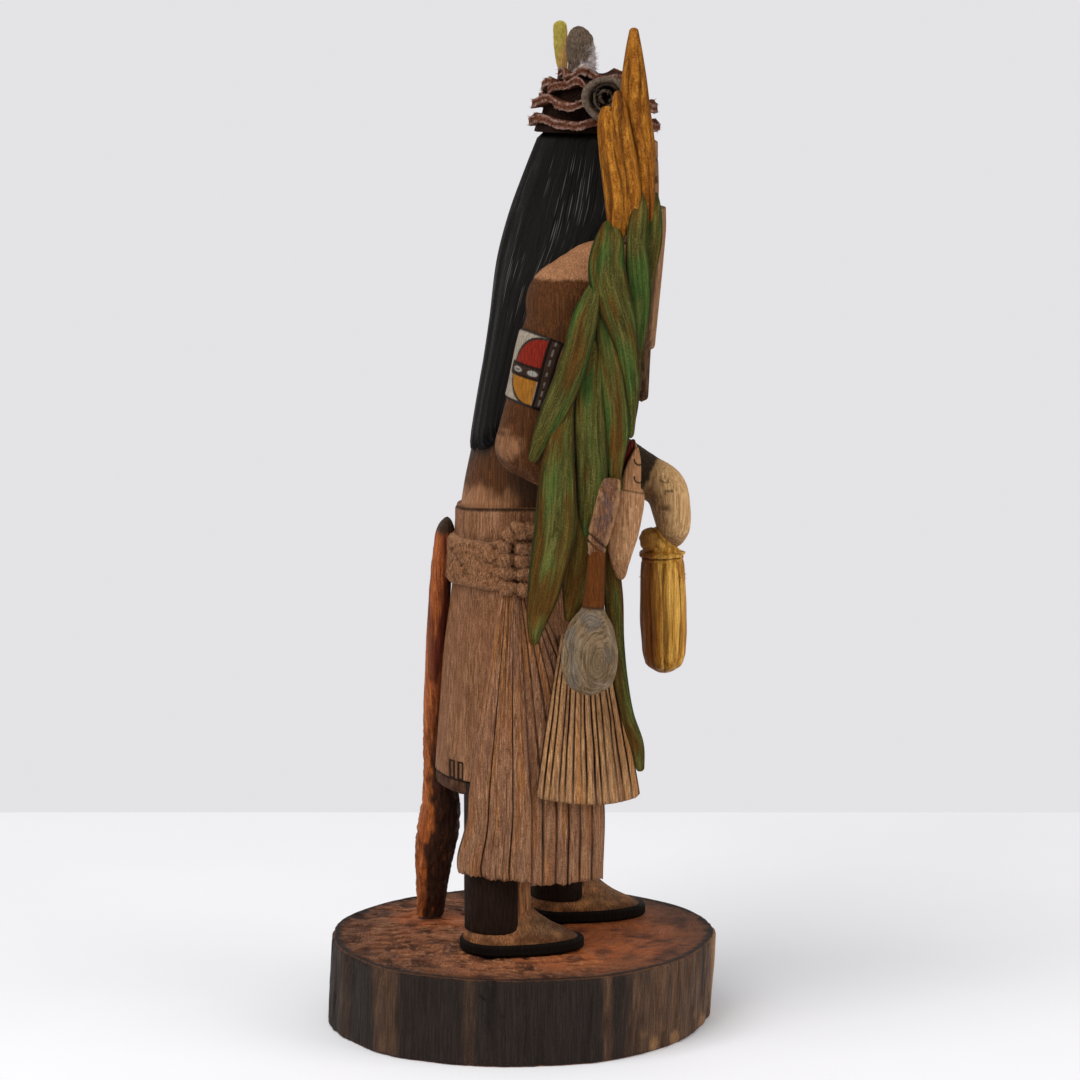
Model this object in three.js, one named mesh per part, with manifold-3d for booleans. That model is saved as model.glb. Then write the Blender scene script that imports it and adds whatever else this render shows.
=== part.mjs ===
// Kachina doll: a carved wooden figure on a slice of log, with the things it carries.
// Millimetres, +Z up, origin at the middle of the base's underside.
// The doll faces -Y, its right hand is on the -X side, its back is on the +Y side.
import * as THREE from "three";
import { mergeVertices } from "three/addons/utils/BufferGeometryUtils.js";
import Module from "manifold-3d";

const wasm = await Module();
wasm.setup();

// ---------------------------------------------------------------- driving dimensions

const GAP = 0.3; // clearance between pieces that rest on or in each other
const EMBED = 2.5; // how far one carved form reaches into the next

const BASE = {
  height: 25,
  halfWide: 53.6,
  halfDeep: 56.4,
  edge: 1.1,
  centre: [-0.34, 0.39],
  lean: 1.5,
  sides: 32,
};
const FLOOR = BASE.height; // the top of the base, where the feet stand

// Profiles are [height, value] pairs: back, front and middle are Y, wide is the half-width in X.
const KILT = {
  low: 70.5,
  high: 147,
  back: [[70.5, 25.4], [88, 24], [110, 22.3], [128, 20], [147, 18.6]],
  front: [[70.5, -31], [100, -26], [128, -21], [147, -17.5]],
  wide: [[70.5, 30], [100, 27], [128, 24], [147, 21]],
  middle: [[70.5, -3], [147, 0]],
};
const TORSO = {
  low: 140,
  high: 226,
  back: [[140, 18.4], [153, 17.2], [170, 13.8], [195, 8], [226, -6]],
  front: [[140, -17], [160, -20], [190, -28], [210, -30], [226, -27]],
  wide: [[140, 20.5], [160, 20], [190, 24], [210, 25], [226, 12]],
  middle: [[140, 0], [170, -4], [205, -12], [226, -15]],
};
const HAIR = {
  low: 167,
  high: 257,
  back: [[167, 15.2], [187, 11.6], [204, 8.9], [221, 6.6], [234, 3.2], [246, -1.2], [257, -5.4]],
  front: [[167, -4], [205, -14], [218, -22], [228, -31], [240, -36.5], [257, -37.4]],
  wide: [[167, 24], [190, 26], [212, 26.5], [226, 23], [240, 18.5], [257, 16.2]],
  middle: [[167, 0], [190, -2], [212, -9], [228, -17], [257, -21.4]],
  locks: 14,
  lockDepth: 1,
  rise: 0.77, // how fast the foot of the hair climbs towards the arms
};
const MASK = {
  low: 229,
  high: 252,
  back: [[229, -20], [252, -20]],
  front: [[229, -38.2], [240, -39], [252, -38.6]],
  wide: [[229, 14.5], [252, 15.6]],
  middle: [[229, -24], [252, -22]],
};
const WAISTBAND = { low: 143.5, high: 151.3, proud: 0.8 };
const SASH = { low: 127.5, high: 142, proud: 1.9, rise: 4 };
const KNOTS = { rows: 4, low: 128.9, high: 142.4, y: [7.1, 2.4], x: -26, radius: 2.9 };
const BOW = { centre: [-25.9, 2.2, 147.2], half: [2.7, 5.8, 3.1] };

const FRINGE = {
  top: 128,
  crease: -3,
  back: [[47, 17.8], [51, 18.4], [59, 16.6], [73, 14.8], [93, 11.6], [110, 8.8], [128, 6.2]],
  front: [[45, -23.3], [72, -23.3], [101, -16], [128, -4.5]],
  backFoot: 48,
  frontFoot: 46.7,
  proud: 3.4,
  strips: 6,
  groove: 0.9,
};
const FAN = {
  top: 117,
  foot: 71.2,
  footCurve: [[0, -1.6], [0.4, -1.7], [1, 1.6]],
  topY: [-11, -24.4],
  footY: [-4.2, -33.8],
  halfDeep: 37,
  proud: [[0, 5.2], [0.55, 5.2], [1, 1.9]],
  thick: 6.5,
  strips: 7,
  groove: 0.9,
};

const LEG = { halfWide: 9, halfDeep: 9.2, middle: 6.4, high: 74 };
const RIGHT_FOOT = { x: -18, y: 0, turn: 0.06 };
const LEFT_FOOT = { x: 19.5, y: -18.7, turn: 0.03 };
const SOLE = { height: 3.1, heel: 17.8, toe: -18, halfWide: 11.6 };
const MOCCASIN = {
  heel: [[28, 17], [30, 16.4], [31.6, 15.4], [37, 14.8]],
  instep: [[28, -16.6], [29.4, -14.6], [32.4, -8.6], [37, -2.4]],
  halfWide: [[28, 10.8], [30, 10.1], [32, 9.1], [37, 8.4]],
};

// Arms: two limbs along their paths, with rounded forms at the neck, the shoulder and the elbow.
const RIGHT_ARM = {
  neck: { centre: [-24.6, -22.6, 216.8], half: [9, 13.6, 11.6] },
  shoulder: { centre: [-26.4, -14.2, 211], half: [11.4, 13, 12.5] },
  elbow: { centre: [-28, -1.6, 171.6], half: [8.6, 8.9, 8.8] },
  upper: [[-26.4, -13.6, 208.5], [-28, -9.4, 199], [-28, -5.9, 186], [-28, -1.6, 171.6]],
  fore: [[-28, -1.6, 171.4], [-30, -11, 165.4], [-33.4, -20, 158.6]],
};
const LEFT_ARM = {
  neck: { centre: [24.6, -22.6, 216.8], half: [9, 13.6, 11.6] },
  shoulder: { centre: [26.4, -14.2, 211], half: [11.4, 13, 12.5] },
  elbow: { centre: [27.6, -5, 175.6], half: [8.6, 8.8, 8.8] },
  upper: [[26.4, -13.6, 208.5], [28, -10, 200], [28.2, -7.4, 189], [27.6, -5, 175.6]],
  fore: [[27.6, -5, 175.4], [25, -20, 165.4], [22, -37.6, 154.4]],
};
const UPPER_ARM = {
  across: [[0, 10.8], [0.35, 9.9], [1, 8.6]],
  out: [[0, 11.4], [0.3, 10.2], [0.7, 9.3], [1, 8.9]],
};
const RIGHT_FOREARM = { across: [[0, 8.6], [1, 5.2]], out: [[0, 8.6], [0.5, 7.4], [1, 5.6]] };
const LEFT_FOREARM = { across: [[0, 8.6], [1, 6.6]], out: [[0, 8.7], [1, 7.2]] };
const RIGHT_FIST = {
  path: [[-37, -24.6, 163.4], [-37.4, -24.2, 159], [-37.4, -22.9, 152], [-37, -20.9, 142]],
  across: [[0, 2.2], [0.3, 3], [0.7, 3.4], [1, 2.8]],
  out: [[0, 2.3], [0.15, 2.9], [0.45, 3.3], [0.75, 2.9], [1, 2.4]],
};
const RIGHT_PALM = { centre: [-33.4, -21.4, 156], half: [5, 4.6, 6.5] };
const ARMBAND = { from: 0.26, to: 0.7, proud: 0.6 }; // shares of the upper arm
const LEFT_FIST = {
  path: [[22, -35.5, 156.4], [22, -41.6, 153], [22.2, -43.8, 146.4], [22.6, -45, 135]],
  across: [[0, 6.4], [0.5, 6.8], [0.85, 5.6], [1, 2.8]],
  out: [[0, 6.4], [0.45, 6.2], [0.8, 5.1], [1, 2.4]],
};

const BEARD = {
  halfWide: 13,
  low: 181.5,
  high: 234,
  face: [[181.5, -36.2], [196, -36.9], [234, -39]],
  thick: 2.7,
  overlayLow: 196,
  overlayHigh: 236,
  overlay: [[196, -38], [229, -41], [236, -41]],
};

const WREATH = {
  centre: [0, -20.5],
  low: 257,
  tilt: 0.05,
  layers: [
    { z: 2.6, radius: 18.4, ruffle: 0.8 },
    { z: 7.9, radius: 17.4, ruffle: 1 },
    { z: 12.4, radius: 15.2, ruffle: 1.3 },
    { z: 15.6, radius: 11.2, ruffle: 1 },
  ],
  core: 13.6,
  waves: 7,
  thick: 1.9,
};
const BLOSSOM = { centre: [-23.4, 267], mouthX: -21.6, rootX: -12.5, radius: 6.5, wall: 1.6, depth: 5 };
const GREEN_FEATHER = {
  path: [[3, -12.4, 269], [2.5, -11.4, 278], [2, -10.9, 288.4]],
  half: [[0, 0.4], [0.4, 0.75], [0.6, 0.95], [0.85, 0.95], [1, 0.45]],
  width: 2.05,
  thick: 0.7,
};
const DOWN_FEATHER = {
  path: [[-2, -16.9, 269], [-3, -16.9, 277], [-3.4, -15.9, 286.9]],
  half: [[0, 0.6], [0.25, 0.95], [0.6, 1], [0.8, 0.9], [1, 0.35]],
  width: 4.2,
  thick: 2.1,
};

const PELT = {
  path: [
    [3, 21.4, 147], [3.6, 23.2, 131], [6, 24.8, 104], [10, 25.4, 80], [13.4, 23.8, 61], [16, 26, 42], [18, 27.2, 25],
  ],
  deep: [[0, 1.6], [0.06, 2.9], [0.5, 3.6], [0.66, 5.8], [0.76, 6.5], [0.88, 5.2], [1, 4.2]],
  wide: [[0, 4], [0.1, 5.6], [0.55, 7], [0.75, 7.4], [1, 4.6]],
};

// Corn leaves: each a list of [x, y, z, half-width] from its upper end to its lower one.
const LEAVES = [
  [
    [-37.5, -21.5, 219, 1.2], [-40.2, -19.2, 213.5, 2.6], [-41.6, -17.4, 207.7, 3.7],
    [-41.9, -15.1, 198.1, 3.9], [-41.6, -12.4, 189.9, 4], [-41, -9.3, 182.9, 3.7],
    [-40, -6.1, 175.9, 2.8], [-38.5, -3, 168.2, 1.2],
  ],
  [
    [-38.6, -13.5, 184.8, 1.3], [-40, -11.8, 178.7, 2.9], [-40.6, -10.5, 170.4, 4.3],
    [-40.6, -10, 160.7, 5.3], [-40, -9.6, 150.9, 5.9], [-39.4, -8, 141, 5.4], [-38.4, -6.1, 131.1, 4.4],
    [-37.6, -4.5, 123.9, 3], [-36.6, -3.4, 116.6, 1],
  ],
  [
    [-37.5, -20.5, 202.4, 1.2], [-38.6, -19.6, 195.1, 2.6], [-39, -18.9, 186.9, 3.9],
    [-39, -19.1, 177.2, 4.4], [-38.6, -19.7, 167.5, 4.4], [-37.6, -19.4, 157.6, 3.7],
    [-36, -18.6, 146.2, 1.4],
  ],
  [
    [-37, -22, 214, 1.2], [-38.2, -22.9, 204.7, 2.3], [-38.6, -24.2, 196.5, 3.4],
    [-38.6, -25.5, 186.8, 3.6], [-38, -26.5, 177.1, 3.6], [-37.2, -26, 168.7, 2.6],
    [-35.8, -25.9, 160.1, 1.2],
  ],
  [
    [-34.5, -24.2, 234.2, 1.5], [-37, -24.2, 229.2, 4], [-38.8, -23.5, 222.5, 5.1],
    [-39.6, -24.5, 215.7, 5.3], [-39.6, -27.2, 207.5, 4.4], [-39, -29.2, 199.2, 3.2],
    [-37.8, -30.4, 188, 2], [-35.8, -30.3, 174.5, 0.9],
  ],
  [
    [-33.4, -33.1, 242.3, 0.6], [-35.4, -32.6, 236.7, 2.3], [-36.6, -31.7, 229.2, 2.9],
    [-37, -32.1, 221, 3.3], [-36.8, -32.6, 212.7, 3.2], [-36, -32.2, 204, 2.4], [-35.2, -32, 194, 0.9],
  ],
  [
    [-31, -36.9, 241.9, 0.7], [-32.6, -36.8, 236.6, 1.9], [-33.6, -36.2, 229, 2.6],
    [-34, -34.7, 219.4, 2.2], [-34.4, -33, 209.8, 2], [-34.4, -31.7, 200.2, 1.8],
    [-34, -31.4, 190.4, 1.7], [-33.6, -30.9, 182.1, 1.4], [-33.4, -29.9, 174.3, 0.6],
  ],
  [
    [-35.4, -15.8, 157.2, 2], [-35.8, -16.7, 148.9, 3], [-35.6, -16.1, 140.4, 3.9],
    [-35, -15.2, 131.9, 3.8], [-34, -13, 122.7, 1],
  ],
  [
    [-36.8, -25.4, 170, 1.6], [-34.4, -26.4, 160, 2], [-32.4, -25.9, 149, 2.3],
    [-31.6, -25.1, 139.8, 2.5], [-31.2, -25.9, 128.4, 2.7],
    [-30.6, -26.6, 117, 2.3], [-29.8, -28, 105.4, 2], [-29, -29.9, 95.2, 1.9], [-28.4, -32.6, 86.5, 2],
    [-28, -33.7, 78.8, 1.1],
  ],
];
const LEAF_THICK = 1.5;

// Tassel spikes: each a list of [x, y, z, half-width] from its tip to its root.
const SPIKES = [
  [
    [-30, -30.9, 286.6, 1.1], [-30.8, -30.9, 280.5, 2.3], [-31.2, -31, 272.4, 3.5],
    [-31.4, -31.4, 264.3, 4.1], [-31.6, -33, 254.8, 3.8], [-32, -33.9, 245.3, 3],
    [-32.6, -34.3, 235.7, 2.4], [-33, -34, 226, 1.6],
  ],
  [
    [-32.6, -26.7, 269.6, 1.1], [-33.6, -26.8, 264.9, 2.2], [-34.2, -27.6, 257.6, 2.9],
    [-34.4, -29.1, 249.5, 2.9], [-34.4, -30.1, 241.3, 2.9], [-34, -30.2, 230, 2.2],
  ],
  [
    [-33.2, -23.9, 265.4, 1.5], [-34.4, -23.5, 261.7, 2.5], [-35, -24.4, 253.6, 3.1],
    [-35, -25.7, 245.4, 3.4], [-34.6, -26.4, 237.2, 3.1], [-34, -26.6, 228, 2.2],
  ],
];
const SPIKE_THICK = 2.5;

const GOURD = {
  path: [[-38.2, -21.2, 146], [-38.2, -20.2, 130], [-38.2, -19.2, 118], [-38.2, -18.9, 102.7]],
  radius: [[0, 2.3], [0.2, 2.6], [0.39, 3.1], [0.42, 3.4], [0.53, 5.9], [0.69, 7.6], [0.79, 7.9], [0.88, 7.2], [1, 1.6]],
};
// The flat doll's three boards, as [x, y, z, half-width] lists: the body, the face and the hood behind it.
const FLAT_DOLL = {
  body: [
    [-33, -29.9, 161.4, 2.8], [-33, -29.8, 158.4, 4.5], [-33, -28.8, 150.5, 4.5], [-33, -27.9, 145, 4],
    [-33, -27.6, 139.5, 2.7], [-33, -28, 134.4, 1],
  ],
  face: [[-33.4, -31.8, 171.4, 0.8], [-33.4, -31.2, 167.5, 2.1], [-33.4, -30.6, 164.2, 2.7], [-33.4, -30.3, 158, 2.9]],
  hood: [[-32, -31, 173.2, 0.8], [-32, -30.5, 169.4, 2.2], [-32, -30.1, 166.6, 2.6], [-32, -29.6, 158, 2.6]],
  thick: [2.7, 1.7, 1.5],
};
const POUCH = {
  ribs: 8,
  path: [[22.6, -41.4, 141], [22.8, -41.2, 134], [23, -41.4, 128], [23, -41.9, 112], [23, -42, 97.3]],
  radius: [[0, 2.8], [0.15, 3.8], [0.24, 4.8], [0.27, 6.3], [0.31, 6.3], [0.34, 6], [0.6, 6.9], [0.9, 6.6], [1, 3.6]],
  knob: { centre: [20.6, -37.4, 137.4], half: [2.6, 2.8, 3.6] },
};

// ---------------------------------------------------------------- tools for carving

const clamp = THREE.MathUtils.clamp;
const lerp = THREE.MathUtils.lerp;

// A smooth value through [at, value] pairs, level beyond the first and the last.
function profile(keys, at) {
  const last = keys.length - 1;
  if (at <= keys[0][0]) return keys[0][1];
  if (at >= keys[last][0]) return keys[last][1];
  let i = 0;
  while (at > keys[i + 1][0]) i++;
  const slope = (j) => {
    const a = Math.max(j - 1, 0);
    const b = Math.min(j + 1, last);
    return (keys[b][1] - keys[a][1]) / (keys[b][0] - keys[a][0]);
  };
  const span = keys[i + 1][0] - keys[i][0];
  const t = (at - keys[i][0]) / span;
  const rest = 1 - t;
  return (
    keys[i][1] * (1 + 2 * t) * rest * rest +
    keys[i + 1][1] * (3 - 2 * t) * t * t +
    slope(i) * span * t * rest * rest -
    slope(i + 1) * span * t * t * rest
  );
}

// Even heights from low to high.
function steps(low, high, count) {
  return Array.from({ length: count + 1 }, (_, i) => lerp(low, high, i / count));
}

// Moves every vertex of a geometry by place(point).
function shaped(geometry, place) {
  const position = geometry.getAttribute("position");
  const point = new THREE.Vector3();
  for (let i = 0; i < position.count; i++) {
    point.fromBufferAttribute(position, i);
    place(point);
    position.setXYZ(i, point.x, point.y, point.z);
  }
  return geometry;
}

// A closed geometry as a solid that can be joined and cut.
function solid(geometry) {
  const bare = geometry.clone();
  bare.deleteAttribute("normal");
  bare.deleteAttribute("uv");
  const whole = mergeVertices(bare, 1e-4);
  return new wasm.Manifold(
    new wasm.Mesh({
      numProp: 3,
      vertProperties: new Float32Array(whole.getAttribute("position").array),
      triVerts: new Uint32Array(whole.index.array),
    }),
  );
}

function join(forms) {
  return forms.reduce((whole, form) => whole.add(form));
}

// The solid's one real body, without the slivers that a cut may leave.
function largest(name, form) {
  const whole = form.decompose().sort((a, b) => b.volume() - a.volume())[0];
  if (whole.volume() < 0.985 * form.volume()) throw new Error(`${name} has come apart`);
  return whole;
}

// A column of rings at the given heights; ring(z, angle) gives a wall point, angle 0 at +X and 90 degrees at +Y.
function column(sides, heights, ring) {
  const count = heights.length - 1;
  const geometry = new THREE.CylinderGeometry(1, 1, 1, sides, count).rotateX(Math.PI / 2);
  return shaped(geometry, (point) => {
    const z = heights[Math.round((point.z + 0.5) * count)];
    const radius = Math.hypot(point.x, point.y);
    const angle = Math.atan2(point.y, point.x);
    const wall = ring(z, radius > 0.5 ? angle : 0);
    const far = ring(z, Math.PI);
    const middle = [(wall[0] + far[0]) / 2, (wall[1] + far[1]) / 2];
    point.set(radius > 0.5 ? wall[0] : middle[0], radius > 0.5 ? wall[1] : middle[1], wall[2] ?? z);
  });
}

// A carved body whose back, front, middle and half-width follow the form's profiles.
function body(form, sides, rows, grow) {
  return column(sides, steps(form.low - grow, form.high + grow, rows), (z, angle) => {
    const middle = profile(form.middle, z);
    const half = Math.sin(angle) > 0 ? profile(form.back, z) - middle : middle - profile(form.front, z);
    return [Math.cos(angle) * (profile(form.wide, z) + grow), middle + Math.sin(angle) * (half + grow)];
  });
}

// A limb along a path; across(t) and out(t) are its half-sizes along `side` and square to it.
function limb(points, side, sides, rows, across, out, ridge = () => 0) {
  const path = new THREE.CatmullRomCurve3(points.map((point) => new THREE.Vector3(...point)));
  const geometry = new THREE.CylinderGeometry(1, 1, 1, sides, rows).rotateX(Math.PI / 2);
  const reference = new THREE.Vector3(...side);
  return shaped(geometry, (point) => {
    const t = clamp(point.z + 0.5, 0, 1);
    const middle = path.getPoint(t);
    const along = path.getTangent(t);
    const s = reference.clone().addScaledVector(along, -reference.dot(along)).normalize();
    const n = along.clone().cross(s);
    const lift = Math.hypot(point.x, point.y) > 0.5 ? ridge(t, Math.atan2(point.y, point.x)) : 0;
    const u = point.x * (across(t) + lift);
    const v = point.y * (out(t) + lift);
    point.copy(middle).addScaledVector(s, u).addScaledVector(n, v);
  });
}

// An egg: a sphere drawn out to three half-sizes.
function egg({ centre, half }, sides, rows, grow = 0) {
  return new THREE.SphereGeometry(1, sides, rows)
    .rotateX(Math.PI / 2)
    .scale(half[0] + grow, half[1] + grow, half[2] + grow)
    .translate(...centre);
}

// A hanging panel: place(u, out, w) gives a point, u 0..1 towards +Y, out 1 outside and 0 inside, w 0..1 upwards.
function panel(across, rows, place) {
  return shaped(new THREE.BoxGeometry(1, 1, 1, across, 1, rows), (point) => {
    point.set(...place(point.x + 0.5, point.y + 0.5, point.z + 0.5));
  });
}

// ---------------------------------------------------------------- the figure

// The kilt's right side: X of its surface at a place in Y and height.
function kiltSide(y, z) {
  const middle = profile(KILT.middle, z);
  const half = y > middle ? profile(KILT.back, z) - middle : middle - profile(KILT.front, z);
  const reach = clamp(Math.abs(y - middle) / half, 0, 0.985);
  return -profile(KILT.wide, z) * Math.sqrt(1 - reach * reach);
}

function band({ low, high, proud, rise = 0 }, grow) {
  return column(20, [low - grow, low + 1, high - 1, high + grow], (z, angle) => {
    const middle = profile(KILT.middle, z);
    const half = Math.sin(angle) > 0 ? profile(KILT.back, z) - middle : middle - profile(KILT.front, z);
    const out = grow + (z < low + 0.5 || z > high - 0.5 ? proud * 0.4 : proud);
    const lift = z > high - 1.5 ? rise * Math.abs(Math.cos(angle)) ** 2 : 0;
    return [Math.cos(angle) * (profile(KILT.wide, z) + out), middle + Math.sin(angle) * (half + out), z + lift];
  });
}

// The long loose hair; its foot climbs from the back towards the arms.
function hair(grow) {
  const locks = (angle) => (Math.round((angle / Math.PI) * HAIR.locks) % 2 ? -HAIR.lockDepth : 0);
  return solid(
    column(HAIR.locks * 2, steps(HAIR.low - grow, HAIR.high + grow, 5), (z, angle) => {
      const middle = profile(HAIR.middle, z);
      const half = Math.sin(angle) > 0 ? profile(HAIR.back, z) - middle : middle - profile(HAIR.front, z);
      const out = grow + locks(angle);
      const y = middle + Math.sin(angle) * (half + out);
      const foot = clamp((192 - z) / 25, 0, 1);
      return [Math.cos(angle) * (profile(HAIR.wide, z) + out), y, z + foot * HAIR.rise * clamp(15.2 - y, 0, 10)];
    }),
  );
}

function knots(grow) {
  const forms = [solid(egg(BOW, 8, 4, grow))];
  for (let row = 0; row < KNOTS.rows; row++) {
    const z = lerp(KNOTS.low, KNOTS.high, row / (KNOTS.rows - 1));
    for (const y of KNOTS.y) {
      const half = [KNOTS.radius, KNOTS.radius, KNOTS.radius];
      forms.push(solid(egg({ centre: [KNOTS.x, y, z], half }, 6, 3, grow)));
    }
  }
  return forms;
}

// The sash's long fringe: a back fall and a front fall that meet at a crease.
function fringe(grow) {
  const fall = (from, to, foot, proud) =>
    panel(FRINGE.strips * 2, 2, (u, out, w) => {
      const z = lerp(foot - grow, FRINGE.top, w);
      const y = lerp(from(z) - grow, to(z) + grow, u);
      const valley = Math.round(u * FRINGE.strips * 2) % 2 === 1 ? FRINGE.groove : 0;
      const x = kiltSide(y, z) - (out > 0.5 ? proud - valley + grow : -EMBED - grow);
      return [x, y, z];
    });
  const back = (z) => profile(FRINGE.back, z);
  const front = (z) => profile(FRINGE.front, z);
  const crease = (z) => FRINGE.crease + (z > KILT.low ? (z - KILT.low) * 0.06 : 0);
  return [
    solid(fall(crease, back, FRINGE.backFoot, FRINGE.proud)),
    solid(fall(front, (z) => crease(z) + 0.6, FRINGE.frontFoot, FRINGE.proud - 1.3)),
  ];
}

// The short fringe that spreads like a fan over the front of the long one.
function fan(grow) {
  return solid(
    panel(FAN.strips * 2, 3, (u, out, w) => {
      const z = lerp(FAN.foot - grow, FAN.top, w) + profile(FAN.footCurve, u) * (1 - w) ** 2;
      const y = lerp(lerp(FAN.footY[1], FAN.topY[1], w) - grow, lerp(FAN.footY[0], FAN.topY[0], w) + grow, u);
      const valley = Math.round(u * FAN.strips * 2) % 2 === 1 ? FAN.groove : 0;
      const turn = (y - profile(KILT.middle, z)) / FAN.halfDeep;
      const outer = -(profile(KILT.wide, z) + profile(FAN.proud, w)) * Math.sqrt(1 - turn * turn);
      const inner = Math.min(Math.min(kiltSide(y, z), -8) + EMBED, outer + FAN.thick) + grow;
      return [out > 0.5 ? outer + valley - grow : inner, y, z];
    }),
  );
}

function leg(foot, grow) {
  const heights = [FLOOR + SOLE.height, 50, LEG.high];
  return solid(
    column(14, heights, (z, angle) => [
      foot.x + Math.cos(angle) * (LEG.halfWide + grow),
      foot.y + LEG.middle + Math.sin(angle) * (LEG.halfDeep + grow),
    ]),
  );
}

function footForm(foot, heights, heel, toe, halfWide, grow) {
  const { middle } = LEG;
  return column(14, heights, (z, angle) => {
    const half = Math.sin(angle) > 0 ? heel(z) - middle : middle - toe(z);
    const x = Math.cos(angle) * (halfWide(z) + grow);
    const y = middle + Math.sin(angle) * (half + grow);
    const [along, aside] = [Math.cos(foot.turn), Math.sin(foot.turn)];
    return [foot.x + x * along - y * aside, foot.y + y * along + x * aside];
  });
}

function shoe(foot, grow) {
  const top = FLOOR + SOLE.height;
  const sole = footForm(foot, [FLOOR, FLOOR + 0.8, top], () => SOLE.heel, () => SOLE.toe, () => SOLE.halfWide, grow);
  const upper = footForm(
    foot,
    [top - 1, top + 1.4, 32, 37],
    (z) => profile(MOCCASIN.heel, z),
    (z) => profile(MOCCASIN.instep, z),
    (z) => profile(MOCCASIN.halfWide, z),
    grow,
  );
  return [solid(sole), solid(upper)];
}

function arm(form, forearm, grow) {
  const half = (keys) => (t) => profile(keys, t) + grow;
  return [
    solid(egg(form.neck, 8, 4, grow)),
    solid(egg(form.shoulder, 10, 5, grow)),
    solid(limb(form.upper, [1, 0, 0], 10, 3, half(UPPER_ARM.across), half(UPPER_ARM.out))),
    solid(egg(form.elbow, 8, 4, grow)),
    solid(limb(form.fore, [1, 0, 0], 10, 3, half(forearm.across), half(forearm.out))),
  ];
}

// The painted band round the upper arm, standing a little proud of it.
function armband(form, grow) {
  const path = new THREE.CatmullRomCurve3(form.upper.map((point) => new THREE.Vector3(...point)));
  const points = [0, 1].map((k) => path.getPoint(lerp(ARMBAND.from, ARMBAND.to, k)).toArray());
  const size = (keys) => (k) => profile(keys, lerp(ARMBAND.from, ARMBAND.to, k)) + ARMBAND.proud + grow;
  return solid(limb(points, [1, 0, 0], 12, 1, size(UPPER_ARM.across), size(UPPER_ARM.out)));
}

function fists(grow) {
  const half = (keys) => (t) => profile(keys, t) + grow;
  return [
    solid(limb(LEFT_FIST.path, [1, 0, 0], 8, 5, half(LEFT_FIST.across), half(LEFT_FIST.out))),
    solid(limb(RIGHT_FIST.path, [1, 0, 0], 8, 4, half(RIGHT_FIST.across), half(RIGHT_FIST.out))),
    solid(egg(RIGHT_PALM, 8, 4, grow)),
  ];
}

// The beard: a thin board hung from the mask, with a shorter one laid over its front.
function beard(grow) {
  const board = (low, high, face, thick, halfWide) =>
    panel(4, 4, (u, out, w) => {
      const z = lerp(low - grow, high, w);
      const round = 1 - 0.3 * clamp(1 - w * 5, 0, 1) ** 2;
      const x = lerp(-halfWide - grow, halfWide + grow, u) * round;
      const bend = (x / halfWide) ** 2 * 1.6;
      return [x, profile(face, z) + bend + (out > 0.5 ? thick + grow : -grow), z];
    });
  return [
    solid(board(BEARD.low, BEARD.high, BEARD.face, BEARD.thick, BEARD.halfWide)),
    solid(board(BEARD.overlayLow, BEARD.overlayHigh, BEARD.overlay, 2.6, BEARD.halfWide - 1.5)),
  ];
}

function figure(grow) {
  return join([
    solid(body(KILT, 20, 4, grow)),
    solid(body(TORSO, 14, 4, grow)),
    hair(grow),
    solid(body(MASK, 14, 2, grow)),
    solid(band(WAISTBAND, grow)),
    solid(band(SASH, grow)),
    ...knots(grow),
    ...fringe(grow),
    fan(grow),
    leg(RIGHT_FOOT, grow),
    leg(LEFT_FOOT, grow),
    ...shoe(RIGHT_FOOT, grow),
    ...shoe(LEFT_FOOT, grow),
    ...arm(RIGHT_ARM, RIGHT_FOREARM, grow),
    ...arm(LEFT_ARM, LEFT_FOREARM, grow),
    armband(RIGHT_ARM, grow),
    armband(LEFT_ARM, grow),
    ...fists(grow),
    ...beard(grow),
  ]);
}

// ---------------------------------------------------------------- the base

function base() {
  const { height, halfWide, halfDeep, edge, centre, lean, sides } = BASE;
  const bark = (angle) =>
    0.012 * Math.sin(2 * angle + Math.PI) + 0.007 * Math.sin(5 * angle + 2) + 0.004 * Math.sin(11 * angle);
  return solid(
    column(sides, [0, edge, height - edge, height], (z, angle) => {
      const rim = z === 0 || z === height ? edge * 0.8 : 0;
      const scale = 1 + bark(angle);
      const shift = lean * (0.5 - z / height);
      const x = centre[0] + Math.cos(angle) * (halfWide * scale - rim);
      return [x, centre[1] + shift + Math.sin(angle) * (halfDeep * scale - rim)];
    }),
  );
}

// ---------------------------------------------------------------- what the figure carries and wears

// A flat blade through [x, y, z, half-width] points, its two ends drawn in.
function blade(points, thick, rows, grow) {
  const keys = points.map((point, i) => [i / (points.length - 1), point[3]]);
  const full = 1 / Math.cos(Math.PI / 6); // a six-sided section reaches its half-width at its flats
  const width = (t) => profile(keys, t);
  const path = points.map((point) => point.slice(0, 3));
  const across = (t) => width(t) * full + grow;
  const out = (t) => Math.min(thick, width(t)) + grow;
  return solid(limb(path, [0, 1, 0], 6, rows, across, out));
}

function cornStalk(grow) {
  const leaves = LEAVES.map((leaf) => blade(leaf, LEAF_THICK, 5, grow));
  const spikes = SPIKES.map((spike) => blade(spike, SPIKE_THICK, 6, grow));
  return join([...leaves, ...spikes]);
}

function gourdRattle(grow) {
  const radius = (t) => profile(GOURD.radius, t);
  return solid(limb(GOURD.path, [1, 0, 0], 12, 12, (t) => radius(t) * 0.9 + grow, (t) => radius(t) + grow));
}

function flatDoll() {
  const { body: shield, face, hood, thick } = FLAT_DOLL;
  return join([shield, face, hood].map((board, i) => blade(board, thick[i], 5, 0)));
}

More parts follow.
